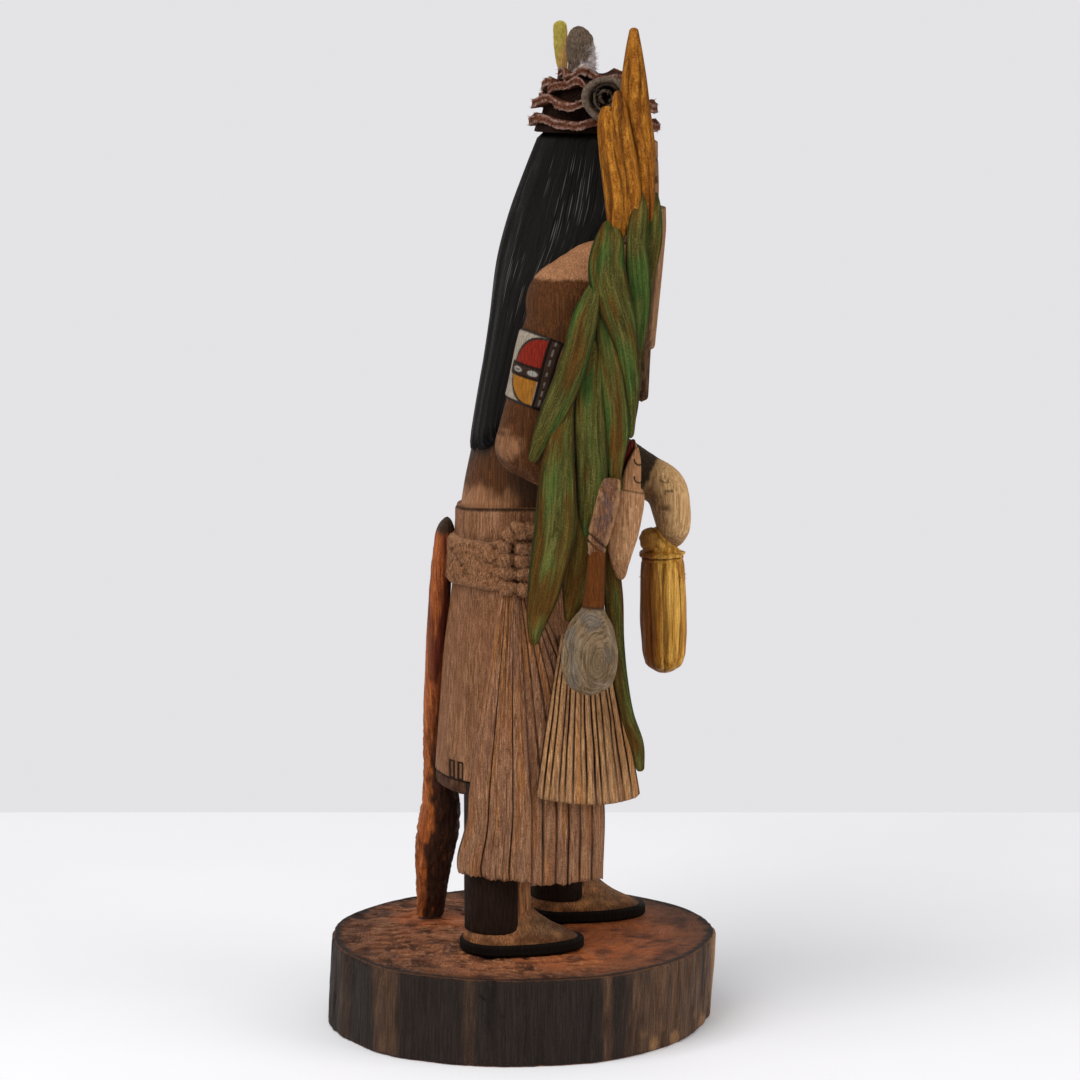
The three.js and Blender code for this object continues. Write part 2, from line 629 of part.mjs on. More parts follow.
function yellowPouch() {
  const radius = (t) => profile(POUCH.radius, t);
  const ribs = (t, angle) => (t > 0.36 && Math.round((angle / Math.PI) * POUCH.ribs) % 2 ? -0.7 : 0);
  const sack = limb(POUCH.path, [1, 0, 0], POUCH.ribs * 2, 9, radius, radius, ribs);
  return join([solid(sack), solid(egg(POUCH.knob, 8, 6))]);
}

// The wreath: wavy layers round a core, all tilted a little forward.
function wreath() {
  const { centre, low, tilt, layers, core, waves, thick } = WREATH;
  const rows = [[0, core, 0]];
  for (const [index, layer] of layers.entries()) {
    rows.push([layer.z - thick / 2, layer.radius, index], [layer.z + thick / 2, layer.radius, index]);
    rows.push([layer.z + thick, Math.min(core, layer.radius - 3), index]);
  }
  const heights = rows.map((_, i) => i);
  const geometry = column(18, heights, (row, angle) => {
    const [z, radius, index] = rows[row];
    const outer = radius === layers[index].radius;
    const ripple = outer ? Math.sin(waves * angle + index * 1.9) * layers[index].ruffle * 0.8 : 0;
    const reach = radius + (outer ? 0.35 * Math.sin(waves * 2 * angle + index) - 0.4 : 0);
    return [Math.cos(angle) * reach, Math.sin(angle) * reach, z + ripple];
  });
  return solid(geometry.rotateX(tilt).translate(centre[0], centre[1], low + GAP));
}

// The blossom: a short funnel whose mouth opens sideways from the head.
function blossom(grow) {
  const { centre, mouthX, rootX, radius, wall, depth } = BLOSSOM;
  const length = rootX - mouthX;
  const points = [
    [0, 0],
    [2.4 + grow, 0],
    [4.2 + grow, length * 0.45],
    [radius + grow, length + grow],
    [radius - wall, length + grow],
    [3, length - depth * 0.6],
    [0, length - depth],
  ];
  const filled = [...points.slice(0, 4), [0, length + grow]];
  const outline = (grow > 0 ? filled : points).map(([r, h]) => new THREE.Vector2(r, h));
  return solid(new THREE.LatheGeometry(outline, 14).rotateZ(Math.PI / 2).translate(rootX, ...centre));
}

function feather({ path, half, width, thick }, grow) {
  const share = (t) => profile(half, t);
  return solid(limb(path, [0, 1, 0], 8, 6, (t) => width * share(t) + grow, (t) => thick * share(t) + grow));
}

function foxPelt() {
  const deep = (t) => profile(PELT.deep, t);
  const wide = (t) => profile(PELT.wide, t);
  return solid(limb(PELT.path, [1, 0, 0], 10, 12, wide, deep));
}

// ---------------------------------------------------------------- the model

const doll = new THREE.Group();

function place(name, form, color, roughness) {
  const { numProp, vertProperties, triVerts } = largest(name, form).getMesh();
  const position = new Float32Array((vertProperties.length / numProp) * 3);
  for (let i = 0; i < position.length / 3; i++) {
    position.set(vertProperties.subarray(i * numProp, i * numProp + 3), i * 3);
  }
  const geometry = new THREE.BufferGeometry();
  geometry.setAttribute("position", new THREE.BufferAttribute(position, 3));
  geometry.setIndex(new THREE.BufferAttribute(new Uint32Array(triVerts), 1));
  geometry.computeVertexNormals();
  const mesh = new THREE.Mesh(geometry, new THREE.MeshStandardMaterial({ color, roughness, metalness: 0 }));
  mesh.name = name;
  doll.add(mesh);
}

const log = base();
const clearance = figure(GAP);
const feathers = [DOWN_FEATHER, GREEN_FEATHER];
const pieces = {
  corn_stalk: cornStalk(0).subtract(clearance),
  gourd_rattle: gourdRattle(0).subtract(clearance).subtract(cornStalk(GAP)),
  squash_blossom: blossom(0).subtract(cornStalk(GAP)),
  flat_doll: flatDoll().subtract(clearance).subtract(cornStalk(GAP)).subtract(gourdRattle(GAP)),
  yellow_pouch: yellowPouch().subtract(clearance),
  headdress_wreath: [blossom(GAP), cornStalk(GAP), ...feathers.map((plume) => feather(plume, GAP + 0.1))]
    .reduce((form, cutter) => form.subtract(cutter), wreath().subtract(clearance)),
  fox_pelt: foxPelt().subtract(clearance).subtract(log),
  down_feather: feather(DOWN_FEATHER, 0),
  green_feather: feather(GREEN_FEATHER, 0),
};

place("base", log, 0x4a3326, 0.85);
place("figure", figure(0).subtract(log), 0x80583f, 0.7);
place("fox_pelt", pieces.fox_pelt, 0x8a4c2a, 0.8);
place("corn_stalk", pieces.corn_stalk, 0x4d5a2a, 0.7);
place("gourd_rattle", pieces.gourd_rattle, 0x7d7262, 0.7);
place("flat_doll", pieces.flat_doll, 0x96714f, 0.7);
place("yellow_pouch", pieces.yellow_pouch, 0xb07d2c, 0.65);
place("headdress_wreath", pieces.headdress_wreath, 0x6a4c3c, 0.9);
place("squash_blossom", pieces.squash_blossom, 0x5a4a3e, 0.9);
place("down_feather", pieces.down_feather, 0x8d847b, 0.95);
place("green_feather", pieces.green_feather, 0x8d803b, 0.9);

export default doll;
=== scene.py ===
"""Kachina doll: a carved and stained wooden figure on a slice of log, with the things it carries and wears.

Each operator carves one piece, or a group of like pieces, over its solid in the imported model. Forms are
written in millimetres in the model's own frame: +Z up, the doll faces -Y, its right hand is on the -X side.
"""

import itertools
import math

import bpy
import numpy as np
from bpy.props import FloatProperty, FloatVectorProperty, IntProperty, PointerProperty
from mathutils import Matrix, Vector


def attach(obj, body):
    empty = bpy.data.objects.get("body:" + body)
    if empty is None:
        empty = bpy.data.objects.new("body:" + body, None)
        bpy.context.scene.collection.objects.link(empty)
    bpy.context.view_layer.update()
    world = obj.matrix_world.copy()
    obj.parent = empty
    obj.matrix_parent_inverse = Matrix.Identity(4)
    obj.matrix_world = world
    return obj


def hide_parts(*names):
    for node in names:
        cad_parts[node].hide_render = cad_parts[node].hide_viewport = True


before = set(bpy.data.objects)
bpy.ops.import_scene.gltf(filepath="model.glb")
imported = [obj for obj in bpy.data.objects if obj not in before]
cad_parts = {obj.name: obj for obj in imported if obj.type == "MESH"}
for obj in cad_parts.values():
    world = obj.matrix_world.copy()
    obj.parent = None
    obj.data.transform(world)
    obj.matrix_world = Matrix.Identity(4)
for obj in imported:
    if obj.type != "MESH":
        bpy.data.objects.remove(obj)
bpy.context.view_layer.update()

bl_info = {
    "name": "Kachina Doll", "version": (1, 0, 0), "blender": (4, 5, 0), "location": "View3D > Sidebar > Doll",
    "description": "Carves a kachina doll and its regalia over the packed model", "category": "Object",
}

MM = 0.001
TURN = 2 * math.pi
LARGE_SKIN = 2000  # points, beyond which a skin is thinned

# --- forms, in millimetres
# Profiles are (height, value) pairs: back, front and middle are Y, wide is the half-width in X.

FLOOR = 25.0

KILT = {
    "back": [(70.5, 25.4), (88, 24), (110, 22.3), (128, 20), (147, 18.6)],
    "front": [(70.5, -31), (100, -26), (128, -21), (147, -17.5)],
    "wide": [(70.5, 30), (100, 27), (128, 24), (147, 21)], "middle": [(70.5, -3), (147, 0)],
}
TORSO = {
    "back": [(140, 18.4), (153, 17.2), (170, 13.8), (195, 8), (226, -6)],
    "front": [(140, -17), (160, -20), (190, -28), (210, -30), (226, -27)],
    "wide": [(140, 20.5), (160, 20), (190, 24), (210, 25), (226, 12)],
    "middle": [(140, 0), (170, -4), (205, -12), (226, -15)],
}
HAIR = {
    "back": [(167, 15.2), (187, 11.8), (204, 9.2), (221, 7), (234, 3.6), (246, -0.8), (257, -5.2)],
    "front": [(167, -4), (205, -14), (218, -22), (228, -31), (240, -36.5), (257, -37.4)],
    "wide": [(167, 24), (190, 26), (212, 26.5), (226, 23), (240, 18.5), (257, 16.2)],
    "middle": [(167, 0), (190, -2), (212, -9), (228, -17), (257, -21.4)],
}
MASK = {
    "back": [(229, -20), (252, -20)], "front": [(229, -38.2), (240, -39), (252, -38.6)],
    "wide": [(229, 14.5), (252, 15.6)], "middle": [(229, -24), (252, -22)],
}

WAISTBAND = {"foot": 142.6, "height": 8.7}
SASH = {"foot": 129.6, "height": 13.6}
FRINGE_TOP = 130.5
FAN = {"low": 71.2, "top": 117.0}
FRINGE_BACK = [
    (47, 17.6), (49.6, 18.5), (53, 18.2), (59, 16.6), (64, 15.5), (73, 14.8), (93, 11.6), (110, 8.8), (128, 6.2)
]
FRINGE_FRONT = [(45, -23.3), (72, -23.3), (101, -16), (128, -4.5)]
KNOT_X = -25.9

RIGHT_FOOT = (-18.0, 0.0, 0.06)  # X, Y and turn
LEFT_FOOT = (19.5, -18.7, 0.03)
ANKLE = 6.4  # Y of the leg's middle behind the foot's own middle
SOLE = {"height": 3.1, "heel": 17.8, "toe": -18.0, "half": 11.6}
MOCCASIN = {
    "heel": [(28, 17), (30, 16.4), (31.6, 15.4), (37, 14.8)],
    "instep": [(28, -16.6), (29.4, -14.6), (32.4, -8.6), (37, -2.4)],
    "half": [(28, 10.8), (30, 10.1), (32, 9.1), (37, 8.4)],
}

RIGHT_ARM = {
    "shoulder": ((-26.4, -14.2, 211.0), (11.4, 13, 12.5)), "neck": ((-24.6, -22.6, 216.8), (9.0, 13.6, 11.6)),
    "elbow": ((-28, -1.6, 171.6), (8.6, 8.9, 8.8)),
    "upper": [(-26.4, -13.6, 208.5), (-28, -9.4, 199), (-28, -5.9, 186), (-28, -1.6, 171.6)],
    "fore": [(-28, -1.6, 171.4), (-30, -11, 165.4), (-33.4, -20, 158.6)], "fore_across": [(0, 8.6), (1, 5.2)],
    "fore_out": [(0, 8.6), (0.5, 7.4), (1, 5.6)],
}
LEFT_ARM = {
    "shoulder": ((26.4, -14.2, 211.0), (11.4, 13, 12.5)), "neck": ((24.6, -22.6, 216.8), (9.0, 13.6, 11.6)),
    "elbow": ((27.6, -5, 175.6), (8.6, 8.8, 8.8)),
    "upper": [(26.4, -13.6, 208.5), (28, -10, 200), (28.2, -7.4, 189), (27.6, -5, 175.6)],
    "fore": [(27.6, -5, 175.4), (25, -20, 165.4), (22, -37.6, 154.4)], "fore_across": [(0, 8.6), (1, 6.6)],
    "fore_out": [(0, 8.7), (1, 7.2)],
}
UPPER_ACROSS = [(0, 10.8), (0.35, 9.9), (1, 8.6)]
UPPER_OUT = [(0, 11.4), (0.3, 10.2), (0.7, 9.3), (1, 8.9)]
ARMBAND = (0.285, 0.755)  # shares of the upper arm
LEFT_FIST = [(22, -35.5, 156.4), (22, -41.6, 153), (22.2, -43.8, 146.4), (22.6, -45, 134.8)]
RIGHT_FIST = [
    (-37.0, -24.8, 163.8), (-37.4, -24.2, 159), (-37.4, -23.0, 153), (-37.4, -21.6, 147.5),
    (-37.0, -20.8, 141.6)
]
LEAVES = [
    (0.15, [
        (-37.5, -21.5, 219, 1.2), (-40.2, -19.2, 213.5, 2.6), (-41.6, -17.4, 207.7, 3.7),
        (-41.9, -15.1, 198.1, 3.9), (-41.6, -12.4, 189.9, 4.0), (-41, -9.3, 182.9, 3.7),
        (-40, -6.1, 175.9, 2.8), (-38.5, -3, 168.2, 1.2)]),
    (0.7, [
        (-38.6, -13.5, 184.8, 1.3), (-40, -11.8, 178.7, 2.9), (-40.6, -10.5, 170.4, 4.3),
        (-40.6, -10, 160.7, 5.3), (-40, -9.6, 150.9, 5.9), (-39.4, -8, 141, 5.4), (-38.4, -6.1, 131.1, 4.4),
        (-37.6, -4.5, 123.9, 3.0), (-36.6, -3.4, 116.6, 1.0)]),
    (0.25, [
        (-37.5, -20.5, 202.4, 1.2), (-38.6, -19.6, 195.1, 2.6), (-39, -18.9, 186.9, 3.9),
        (-39, -19.1, 177.2, 4.4), (-38.6, -19.7, 167.5, 4.4), (-37.6, -19.4, 157.6, 3.7),
        (-36, -18.6, 146.2, 1.4)]),
    (0.4, [
        (-37, -22, 214, 1.2), (-38.2, -22.9, 204.7, 2.3), (-38.6, -24.2, 196.5, 3.4),
        (-38.6, -25.5, 186.8, 3.6), (-38, -26.5, 177.1, 3.6), (-37.2, -26.0, 168.7, 2.6),
        (-35.8, -25.9, 160.1, 1.2)]),
    (0.3, [
        (-34.5, -24.2, 234.2, 1.5), (-37, -24.2, 229.2, 4.0), (-38.8, -23.5, 222.5, 5.1),
        (-39.6, -24.5, 215.7, 5.3), (-39.6, -27.2, 207.5, 4.4), (-39, -29.2, 199.2, 3.2),
        (-37.8, -30.4, 188, 2.0), (-35.8, -30.3, 174.5, 0.9)]),
    (0.35, [
        (-33.4, -33.1, 242.3, 0.6), (-35.4, -32.6, 236.7, 2.3), (-36.6, -31.7, 229.2, 2.9),
        (-37, -32.1, 221, 3.3), (-36.8, -32.6, 212.7, 3.2), (-36, -32.2, 204, 2.4), (-35.2, -32, 194, 0.9)]),
    (0.1, [
        (-31, -36.9, 241.9, 0.7), (-32.6, -36.8, 236.6, 1.9), (-33.6, -36.2, 229, 2.6),
        (-34, -34.7, 219.4, 2.2), (-34.4, -33.0, 209.8, 2.0), (-34.4, -31.7, 200.2, 1.8),
        (-34, -31.4, 190.4, 1.7), (-33.6, -30.9, 182.1, 1.4), (-33.4, -29.9, 174.3, 0.6)]),
    (0.75, [
        (-35.4, -15.8, 157.2, 2), (-35.8, -16.7, 148.9, 3), (-35.6, -16.1, 140.4, 3.9),
        (-35, -15.2, 131.9, 3.8), (-34, -13, 122.7, 1.0)]),
    (0.6, [
        (-36.8, -25.4, 170, 1.6), (-34.4, -26.4, 160, 2), (-32.4, -25.9, 149, 2.3), (-31.6, -25.1, 139.8, 2.5),
        (-31.2, -25.9, 128.4, 2.7), (-30.6, -26.6, 117, 2.3), (-29.8, -28.0, 105.4, 2.0),
        (-29, -29.9, 95.2, 1.9), (-28.4, -32.6, 86.5, 2.0), (-28, -33.7, 78.8, 1.1)]),
]
SPIKES = [
    [
        (-30, -30.9, 286.6, 1.1), (-30.8, -30.9, 280.5, 2.3), (-31.2, -31, 272.4, 3.5),
        (-31.4, -31.4, 264.3, 4.1), (-31.6, -33, 254.8, 3.8), (-32, -33.9, 245.3, 3.0),
        (-32.6, -34.3, 235.7, 2.4), (-33, -34, 226, 1.6)],
    [
        (-32.6, -26.7, 269.6, 1.1), (-33.6, -26.8, 264.9, 2.2), (-34.2, -27.6, 257.6, 2.9),
        (-34.4, -29.1, 249.5, 2.9), (-34.4, -30.1, 241.3, 2.9), (-34, -30.2, 230, 2.2)],
    [
        (-33.2, -23.9, 265.4, 1.5), (-34.4, -23.5, 261.7, 2.5), (-35, -24.4, 253.6, 3.1),
        (-35, -25.7, 245.4, 3.4), (-34.6, -26.4, 237.2, 3.1), (-34, -26.6, 228, 2.2)],
]

GOURD = [(-38.2, -21.2, 146), (-38.2, -20.2, 130), (-38.2, -19.2, 118), (-38.2, -18.9, 102.7)]
GOURD_RADIUS = [
    (0, 2.3), (0.2, 2.6), (0.385, 3.1), (0.41, 3.3), (0.533, 5.9), (0.688, 7.6), (0.787, 7.9), (0.884, 7.2),
    (0.951, 5.4), (1, 1.4)
]
FLAT_DOLL = [
    (-33, -29.9, 161.4, 2.8), (-33, -29.8, 158.4, 4.5), (-33, -28.8, 150.5, 4.5), (-33, -27.9, 145, 4.0),
    (-33, -27.6, 139.5, 2.7), (-33, -28.0, 134.4, 1.0)
]
POUCH = [(22.6, -41.4, 141), (22.8, -41.2, 134), (23, -41.4, 128), (23, -41.9, 112), (23, -42, 97.3)]
POUCH_RADIUS = [
    (0, 3.0), (0.15, 3.8), (0.24, 4.8), (0.268, 6.4), (0.31, 6.5), (0.34, 6.1), (0.6, 6.8), (0.88, 6.5),
    (0.95, 5.4), (1, 3.2)
]
PELT = [
    (3, 21.4, 147), (3.6, 23.2, 131), (6, 24.8, 104), (10, 25.4, 80), (13.4, 23.8, 61), (16, 26, 42),
    (18, 27.2, 25)
]
PELT_DEEP = [(0, 1.6), (0.06, 2.9), (0.5, 3.6), (0.66, 5.8), (0.76, 6.5), (0.88, 5.2), (1, 4.2)]
PELT_WIDE = [(0, 4), (0.1, 5.6), (0.55, 7), (0.75, 7.4), (1, 4.6)]
WREATH_CENTRE = (0.0, -20.5, 257.3)
WREATH_TILT = 0.05
BLOSSOM = {"centre": (-23.4, 267.0), "mouth": -21.6, "root": -12.5, "radius": 6.5}
GREEN_FEATHER = [(3, -12.4, 269), (2.5, -11.4, 278), (2, -10.9, 288.4)]
DOWN_FEATHER = [(-2, -16.9, 269), (-3, -16.9, 277), (-3.4, -15.9, 286.9)]


# --- shaping tools


def keyed(keys, at):
    """Smooth values through (at, value) pairs, level beyond the first and the last."""
    x, y = np.array(keys, float).T
    slope = np.gradient(y, x) if len(x) == 2 else np.empty_like(y)
    if len(x) > 2:
        slope[1:-1] = (y[2:] - y[:-2]) / (x[2:] - x[:-2])
        slope[0], slope[-1] = (y[1] - y[0]) / (x[1] - x[0]), (y[-1] - y[-2]) / (x[-1] - x[-2])
    i = np.clip(np.searchsorted(x, at, side="left") - 1, 0, len(x) - 2)
    span = x[i + 1] - x[i]
    t = unit((np.asarray(at, float) - x[i]) / span)
    rest = 1 - t
    value = y[i] * (1 + 2 * t) * rest**2 + y[i + 1] * (3 - 2 * t) * t**2
    return value + slope[i] * span * t * rest**2 - slope[i + 1] * span * t**2 * rest


def step(low, high, at):
    """0 below low, 1 above high, and a smooth ramp between."""
    t = unit((np.asarray(at, float) - low) / (high - low))
    return t * t * (3 - 2 * t)


def unit(value):
    """The value, held between 0 and 1."""
    return np.clip(value, 0, 1)


def drawn_in(edge, radius):
    """How far a rounded rim lies behind the face beside it: 1 at the edge, 0 from `radius` inward."""
    return 1 - np.sqrt(1 - (1 - unit(edge / radius)) ** 2)


def placed(x, y, z):
    """Points from their X, Y and Z, spread to one shape."""
    return np.stack(np.broadcast_arrays(x, y, z), axis=-1)


def grain(points, size, seed=0):
    """Smooth noise from -1 to 1 at points (..., 3).

    Its lumps have one size, one across and one along Z, or one for each axis.
    """
    size = np.atleast_1d(size)
    size = size if len(size) == 3 else size[[0, 0, -1]]
    scaled = np.asarray(points, float) / size + seed * 17.137
    cell = np.floor(scaled).astype(np.int64)
    part = scaled - cell
    part = part * part * (3 - 2 * part)
    total = np.zeros(scaled.shape[:-1])
    for corner in itertools.product((0, 1), repeat=3):
        at = cell + corner
        mixed = (at[..., 0] * 73856093) ^ (at[..., 1] * 19349663) ^ (at[..., 2] * 83492791)
        mixed = ((mixed ^ (mixed >> 13)) * 1274126177) & 0x7FFFFFFF
        weight = np.prod(np.where(corner, part, 1 - part), axis=-1)
        total += weight * (mixed / 0x3FFFFFFF - 1)
    return total


def cuts(at, places, width, sharp=1.0):
    """How deep V-shaped cuts at the given places go, 0 to 1; width is a cut's whole width."""
    places = np.sort(np.asarray(places, float))
    i = np.clip(np.searchsorted(places, at), 1, len(places) - 1)
    near = np.minimum(np.abs(at - places[i - 1]), np.abs(at - places[i]))
    return unit(1 - near / (width / 2)) ** sharp


def course(path, t):
    """Places and directions along a smooth path through the given points, t from 0 to 1."""
    points = np.array(path, float)
    points = np.vstack([2 * points[0] - points[1], points, 2 * points[-1] - points[-2]])

    def at(t):
        place = unit(t) * (len(path) - 1)
        i = np.clip(np.floor(place).astype(int), 0, len(path) - 2)
        p = [points[i + k] for k in range(4)]
        gap = [np.sqrt(np.linalg.norm(p[k + 1] - p[k], axis=1))[:, None] for k in range(3)]
        start = ((p[1] - p[0]) / gap[0] - (p[2] - p[0]) / (gap[0] + gap[1]) + (p[2] - p[1]) / gap[1]) * gap[1]
        end = ((p[2] - p[1]) / gap[1] - (p[3] - p[1]) / (gap[1] + gap[2]) + (p[3] - p[2]) / gap[2]) * gap[1]
        w = (place - i)[:, None]
        curve = p[1] * (2 * w**3 - 3 * w**2 + 1) + p[2] * (3 * w**2 - 2 * w**3)
        return curve + start * (w**3 - 2 * w**2 + w) + end * (w**3 - w**2)

    nudge = 1e-4
    heading = at(unit(t + nudge)) - at(unit(t - nudge))
    return at(t), heading / np.linalg.norm(heading, axis=1)[:, None]


def around(count):
    """Angles of a ring's points."""
    return np.arange(count) * TURN / count


def limb(path, side, t, angle, across, out, lift=0.0, square=1.0):
    """A skin round a path: half-sizes across(t) along `side` and out(t) square to it, raised by lift."""
    middle, heading = course(path, t)
    side = np.array(side, float)
    s = side - heading * (heading @ side)[:, None]
    s /= np.linalg.norm(s, axis=1)[:, None]
    n = np.cross(heading, s)
    c, k = np.cos(angle), np.sin(angle)
    c, k = np.sign(c) * np.abs(c) ** square, np.sign(k) * np.abs(k) ** square
    u = c * (np.asarray(across)[:, None] + lift)
    v = k * (np.asarray(out)[:, None] + lift)
    return middle[:, None] + u[..., None] * s[:, None] + v[..., None] * n[:, None]


def wall(form, z, angle, lift=0.0, ends=0.0):
    """A carved body's skin at heights z; the first and last `ends` millimetres round inward."""
    middle, wide = keyed(form["middle"], z)[:, None], keyed(form["wide"], z)[:, None]
    back, front = keyed(form["back"], z)[:, None] - middle, middle - keyed(form["front"], z)[:, None]
    half = np.where(np.sin(angle) > 0, back, front)
    lift = lift + np.zeros((len(z), len(angle)))
    if ends:
        edge = np.minimum(z - z.min(), z.max() - z)[:, None]
        lift = lift - ends * drawn_in(edge, ends)
    x, y = np.cos(angle) * (wide + lift), middle + np.sin(angle) * (half + lift)
    return placed(x, y, z[:, None])


def egg(centre, half, rows=28, columns=40):
    """An egg of three half-sizes."""
    polar = np.linspace(0.04, math.pi - 0.04, rows)[:, None]
    angle = around(columns)
    ball = placed(np.sin(polar) * np.cos(angle), np.sin(polar) * np.sin(angle), -np.cos(polar))
    return ball * np.array(half, float) + np.array(centre, float)


def quill(root, bow, tip, side, thick, rows=5):
    """A fine closed hair that tapers from its root over a bow to its tip."""
    t = np.linspace(0, 1, rows)
    fine = thick * (1.05 - t)
    return limb([root, bow, tip], side, t, around(4), fine, fine)


def rounded(t, start, end):
    """A factor that closes a limb with round ends; start and end are the shares of its length they take."""
    near = np.minimum(unit(t / max(start, 1e-6)), unit((1 - t) / max(end, 1e-6)))
    return np.sqrt(np.clip(1 - (1 - near) ** 2, 0.0004, 1))


class Carving:
    """Gathers closed skins of quads, each a stack of rings, with marks on their points for the finish.

    A mark that a skin is not given is 0 on it.
    """

    def __init__(self, every=(2, 2)):
        """`every` thins the large skins: one row and one column in so many is kept."""
        self.points, self.faces, self.marks, self.count, self.every = [], [], {}, 0, every

    def _kept(self, rows, columns):
        if rows * columns <= LARGE_SKIN:
            return np.ix_(range(rows), range(columns))
        down, across = (2 * (n // (2 * every)) for n, every in zip((rows, columns), self.every))
        row = np.linspace(0, rows - 1, down).round().astype(int)
        column = np.linspace(0, columns, across, endpoint=False).round().astype(int)
        return np.ix_(row, column)

    def add(self, rings, fibre=None, **marks):
        """Adds a stack of rings (rows, columns, 3), an even number of columns, with flat ends."""
        shape = rings.shape[:2]
        keep = self._kept(*shape)
        fibre = np.broadcast_to(rings if fibre is None else fibre, rings.shape)[keep]
        rings = rings[keep]
        rows, columns = rings.shape[:2]
        index = np.arange(rows * columns).reshape(rows, columns)
        turned = np.roll(index, -1, axis=1)
        side = np.stack([index[:-1], turned[:-1], turned[1:], index[1:]], axis=-1).reshape(-1, 4)
        i = np.arange(columns // 2 - 1)
        low = np.stack([i, columns - 1 - i, columns - 2 - i, i + 1], axis=-1)
        top = low[:, ::-1] + (rows - 1) * columns
        self.faces.append(np.vstack([side, low, top]) + self.count)
        self.points.append(rings.reshape(-1, 3))
        self._mark("fibre", fibre.reshape(-1, 3))
        for name, value in marks.items():
            self._mark(name, np.broadcast_to(value, shape)[keep].reshape(-1))
        self.count += rows * columns
        return self

    def _mark(self, name, value):
        self.marks.setdefault(name, []).append((self.count, np.asarray(value, float)))

    def mesh(self, name):
        """The gathered skins as one mesh, in metres."""
        points = np.vstack(self.points)
        made = bpy.data.meshes.new(name)
        made.from_pydata(points * MM, [], np.vstack(self.faces))
        for mark, parts in self.marks.items():
            kind, shape = ("FLOAT_VECTOR", (len(points), 3)) if mark == "fibre" else ("FLOAT", len(points))
            values = np.zeros(shape)
            for start, value in parts:
                values[start : start + len(value)] = value
            layer = made.attributes.new(mark, kind, "POINT")
            layer.data.foreach_set("vector" if mark == "fibre" else "value", values.ravel().astype(np.float32))
        made.validate()
        made.shade_smooth()
        made.set_sharp_from_angle(angle=math.radians(65))
        return made


def fused(skins, voxel, rounds):
    """Joins overlapping skins and softens where they meet: points and outward directions in mm, and faces."""
    carving = Carving()
    for skin in skins:
        carving.add(skin)
    rough = bpy.data.objects.new("joining", carving.mesh("joining"))
    bpy.context.scene.collection.objects.link(rough)
    remesh = rough.modifiers.new("join", "REMESH")
    remesh.mode, remesh.voxel_size = "VOXEL", voxel * MM
    soften = rough.modifiers.new("soften", "SMOOTH")
    soften.factor, soften.iterations = 0.5, rounds
    whole = bpy.data.meshes.new_from_object(rough.evaluated_get(bpy.context.evaluated_depsgraph_get()))
    points = np.empty(len(whole.vertices) * 3, np.float32)
    whole.vertices.foreach_get("co", points)
    normals = np.empty(len(whole.vertices) * 3, np.float32)
    whole.vertex_normals.foreach_get("vector", normals)
    corners = np.empty(len(whole.loops), np.int32)
    whole.loops.foreach_get("vertex_index", corners)
    bpy.data.objects.remove(rough)
    return points.reshape(-1, 3) / MM, normals.reshape(-1, 3), corners.reshape(-1, 4)


def fused_carving(points, faces, fibre=None, **marks):
    """A carving made of one joined skin."""
    made = Carving()
    made.points, made.faces, made.count = [points], [faces], len(points)
    made.marks = {"fibre": [(0, points if fibre is None else fibre)]}
    made.marks.update({name: [(0, np.broadcast_to(value, len(points)))] for name, value in marks.items()})
    return made


def piece(name, carving, material, node="figure"):
    """Puts a carving in the scene in place of its solid, riding on the doll."""
    made = bpy.data.objects.new(name, carving.mesh(name))
    bpy.context.scene.collection.objects.link(made)
    made.data.materials.append(material)
    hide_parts(node)
    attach(made, "root")
    return made


# --- finishes


def linear(code, alpha=1.0):
    """An sRGB hex colour as linear light; a colour that is linear already is kept."""
    if not isinstance(code, str):
        return tuple(code)
    parts = [int(code[i : i + 2], 16) / 255 for i in (1, 3, 5)]
    return tuple(c / 12.92 if c <= 0.04045 else ((c + 0.055) / 1.055) ** 2.4 for c in parts) + (alpha,)


def node(tree, kind, settings, inputs, output=0):
    """Adds a node with its settings, its input values and links, and gives the output asked for."""
    made = tree.nodes.new(kind)
    for name, value in settings.items():
        setattr(made, name, value)
    for key, value in inputs.items():
        if isinstance(value, bpy.types.NodeSocket):
            tree.links.new(value, made.inputs[key])
        else:
            made.inputs[key].default_value = value
    return made.outputs[output] if made.outputs else None


def emptied(owner):
    """The node tree of a material or a world, with nothing in it."""
    owner.use_nodes = True
    owner.node_tree.nodes.clear()
    return owner.node_tree


MIX = {"data_type": "RGBA", "clamp_factor": True}
SMOOTH = {"interpolation_type": "SMOOTHSTEP"}


def patches(tree, fibre, size, low, high, detail=3.0, rough=0.6, warp=0.0):
    """Uneven patches from 0 to 1, `size` millimetres across and along the grain."""
    share = (1 / size[0], 1 / size[0], 1 / size[1])
    place = node(tree, "ShaderNodeVectorMath", {"operation": "MULTIPLY"}, {0: fibre, 1: share})
    noise = node(tree, "ShaderNodeTexNoise", {}, {
        "Vector": place, "Scale": 1.0, "Detail": detail, "Roughness": rough, "Distortion": warp})
    return node(tree, "ShaderNodeMapRange", SMOOTH, {"Value": noise, "From Min": low, "From Max": high})


def mark(tree, name):
    """One of the marks that a carving carries."""
    return node(tree, "ShaderNodeAttribute", {"attribute_name": name}, {}, "Fac")


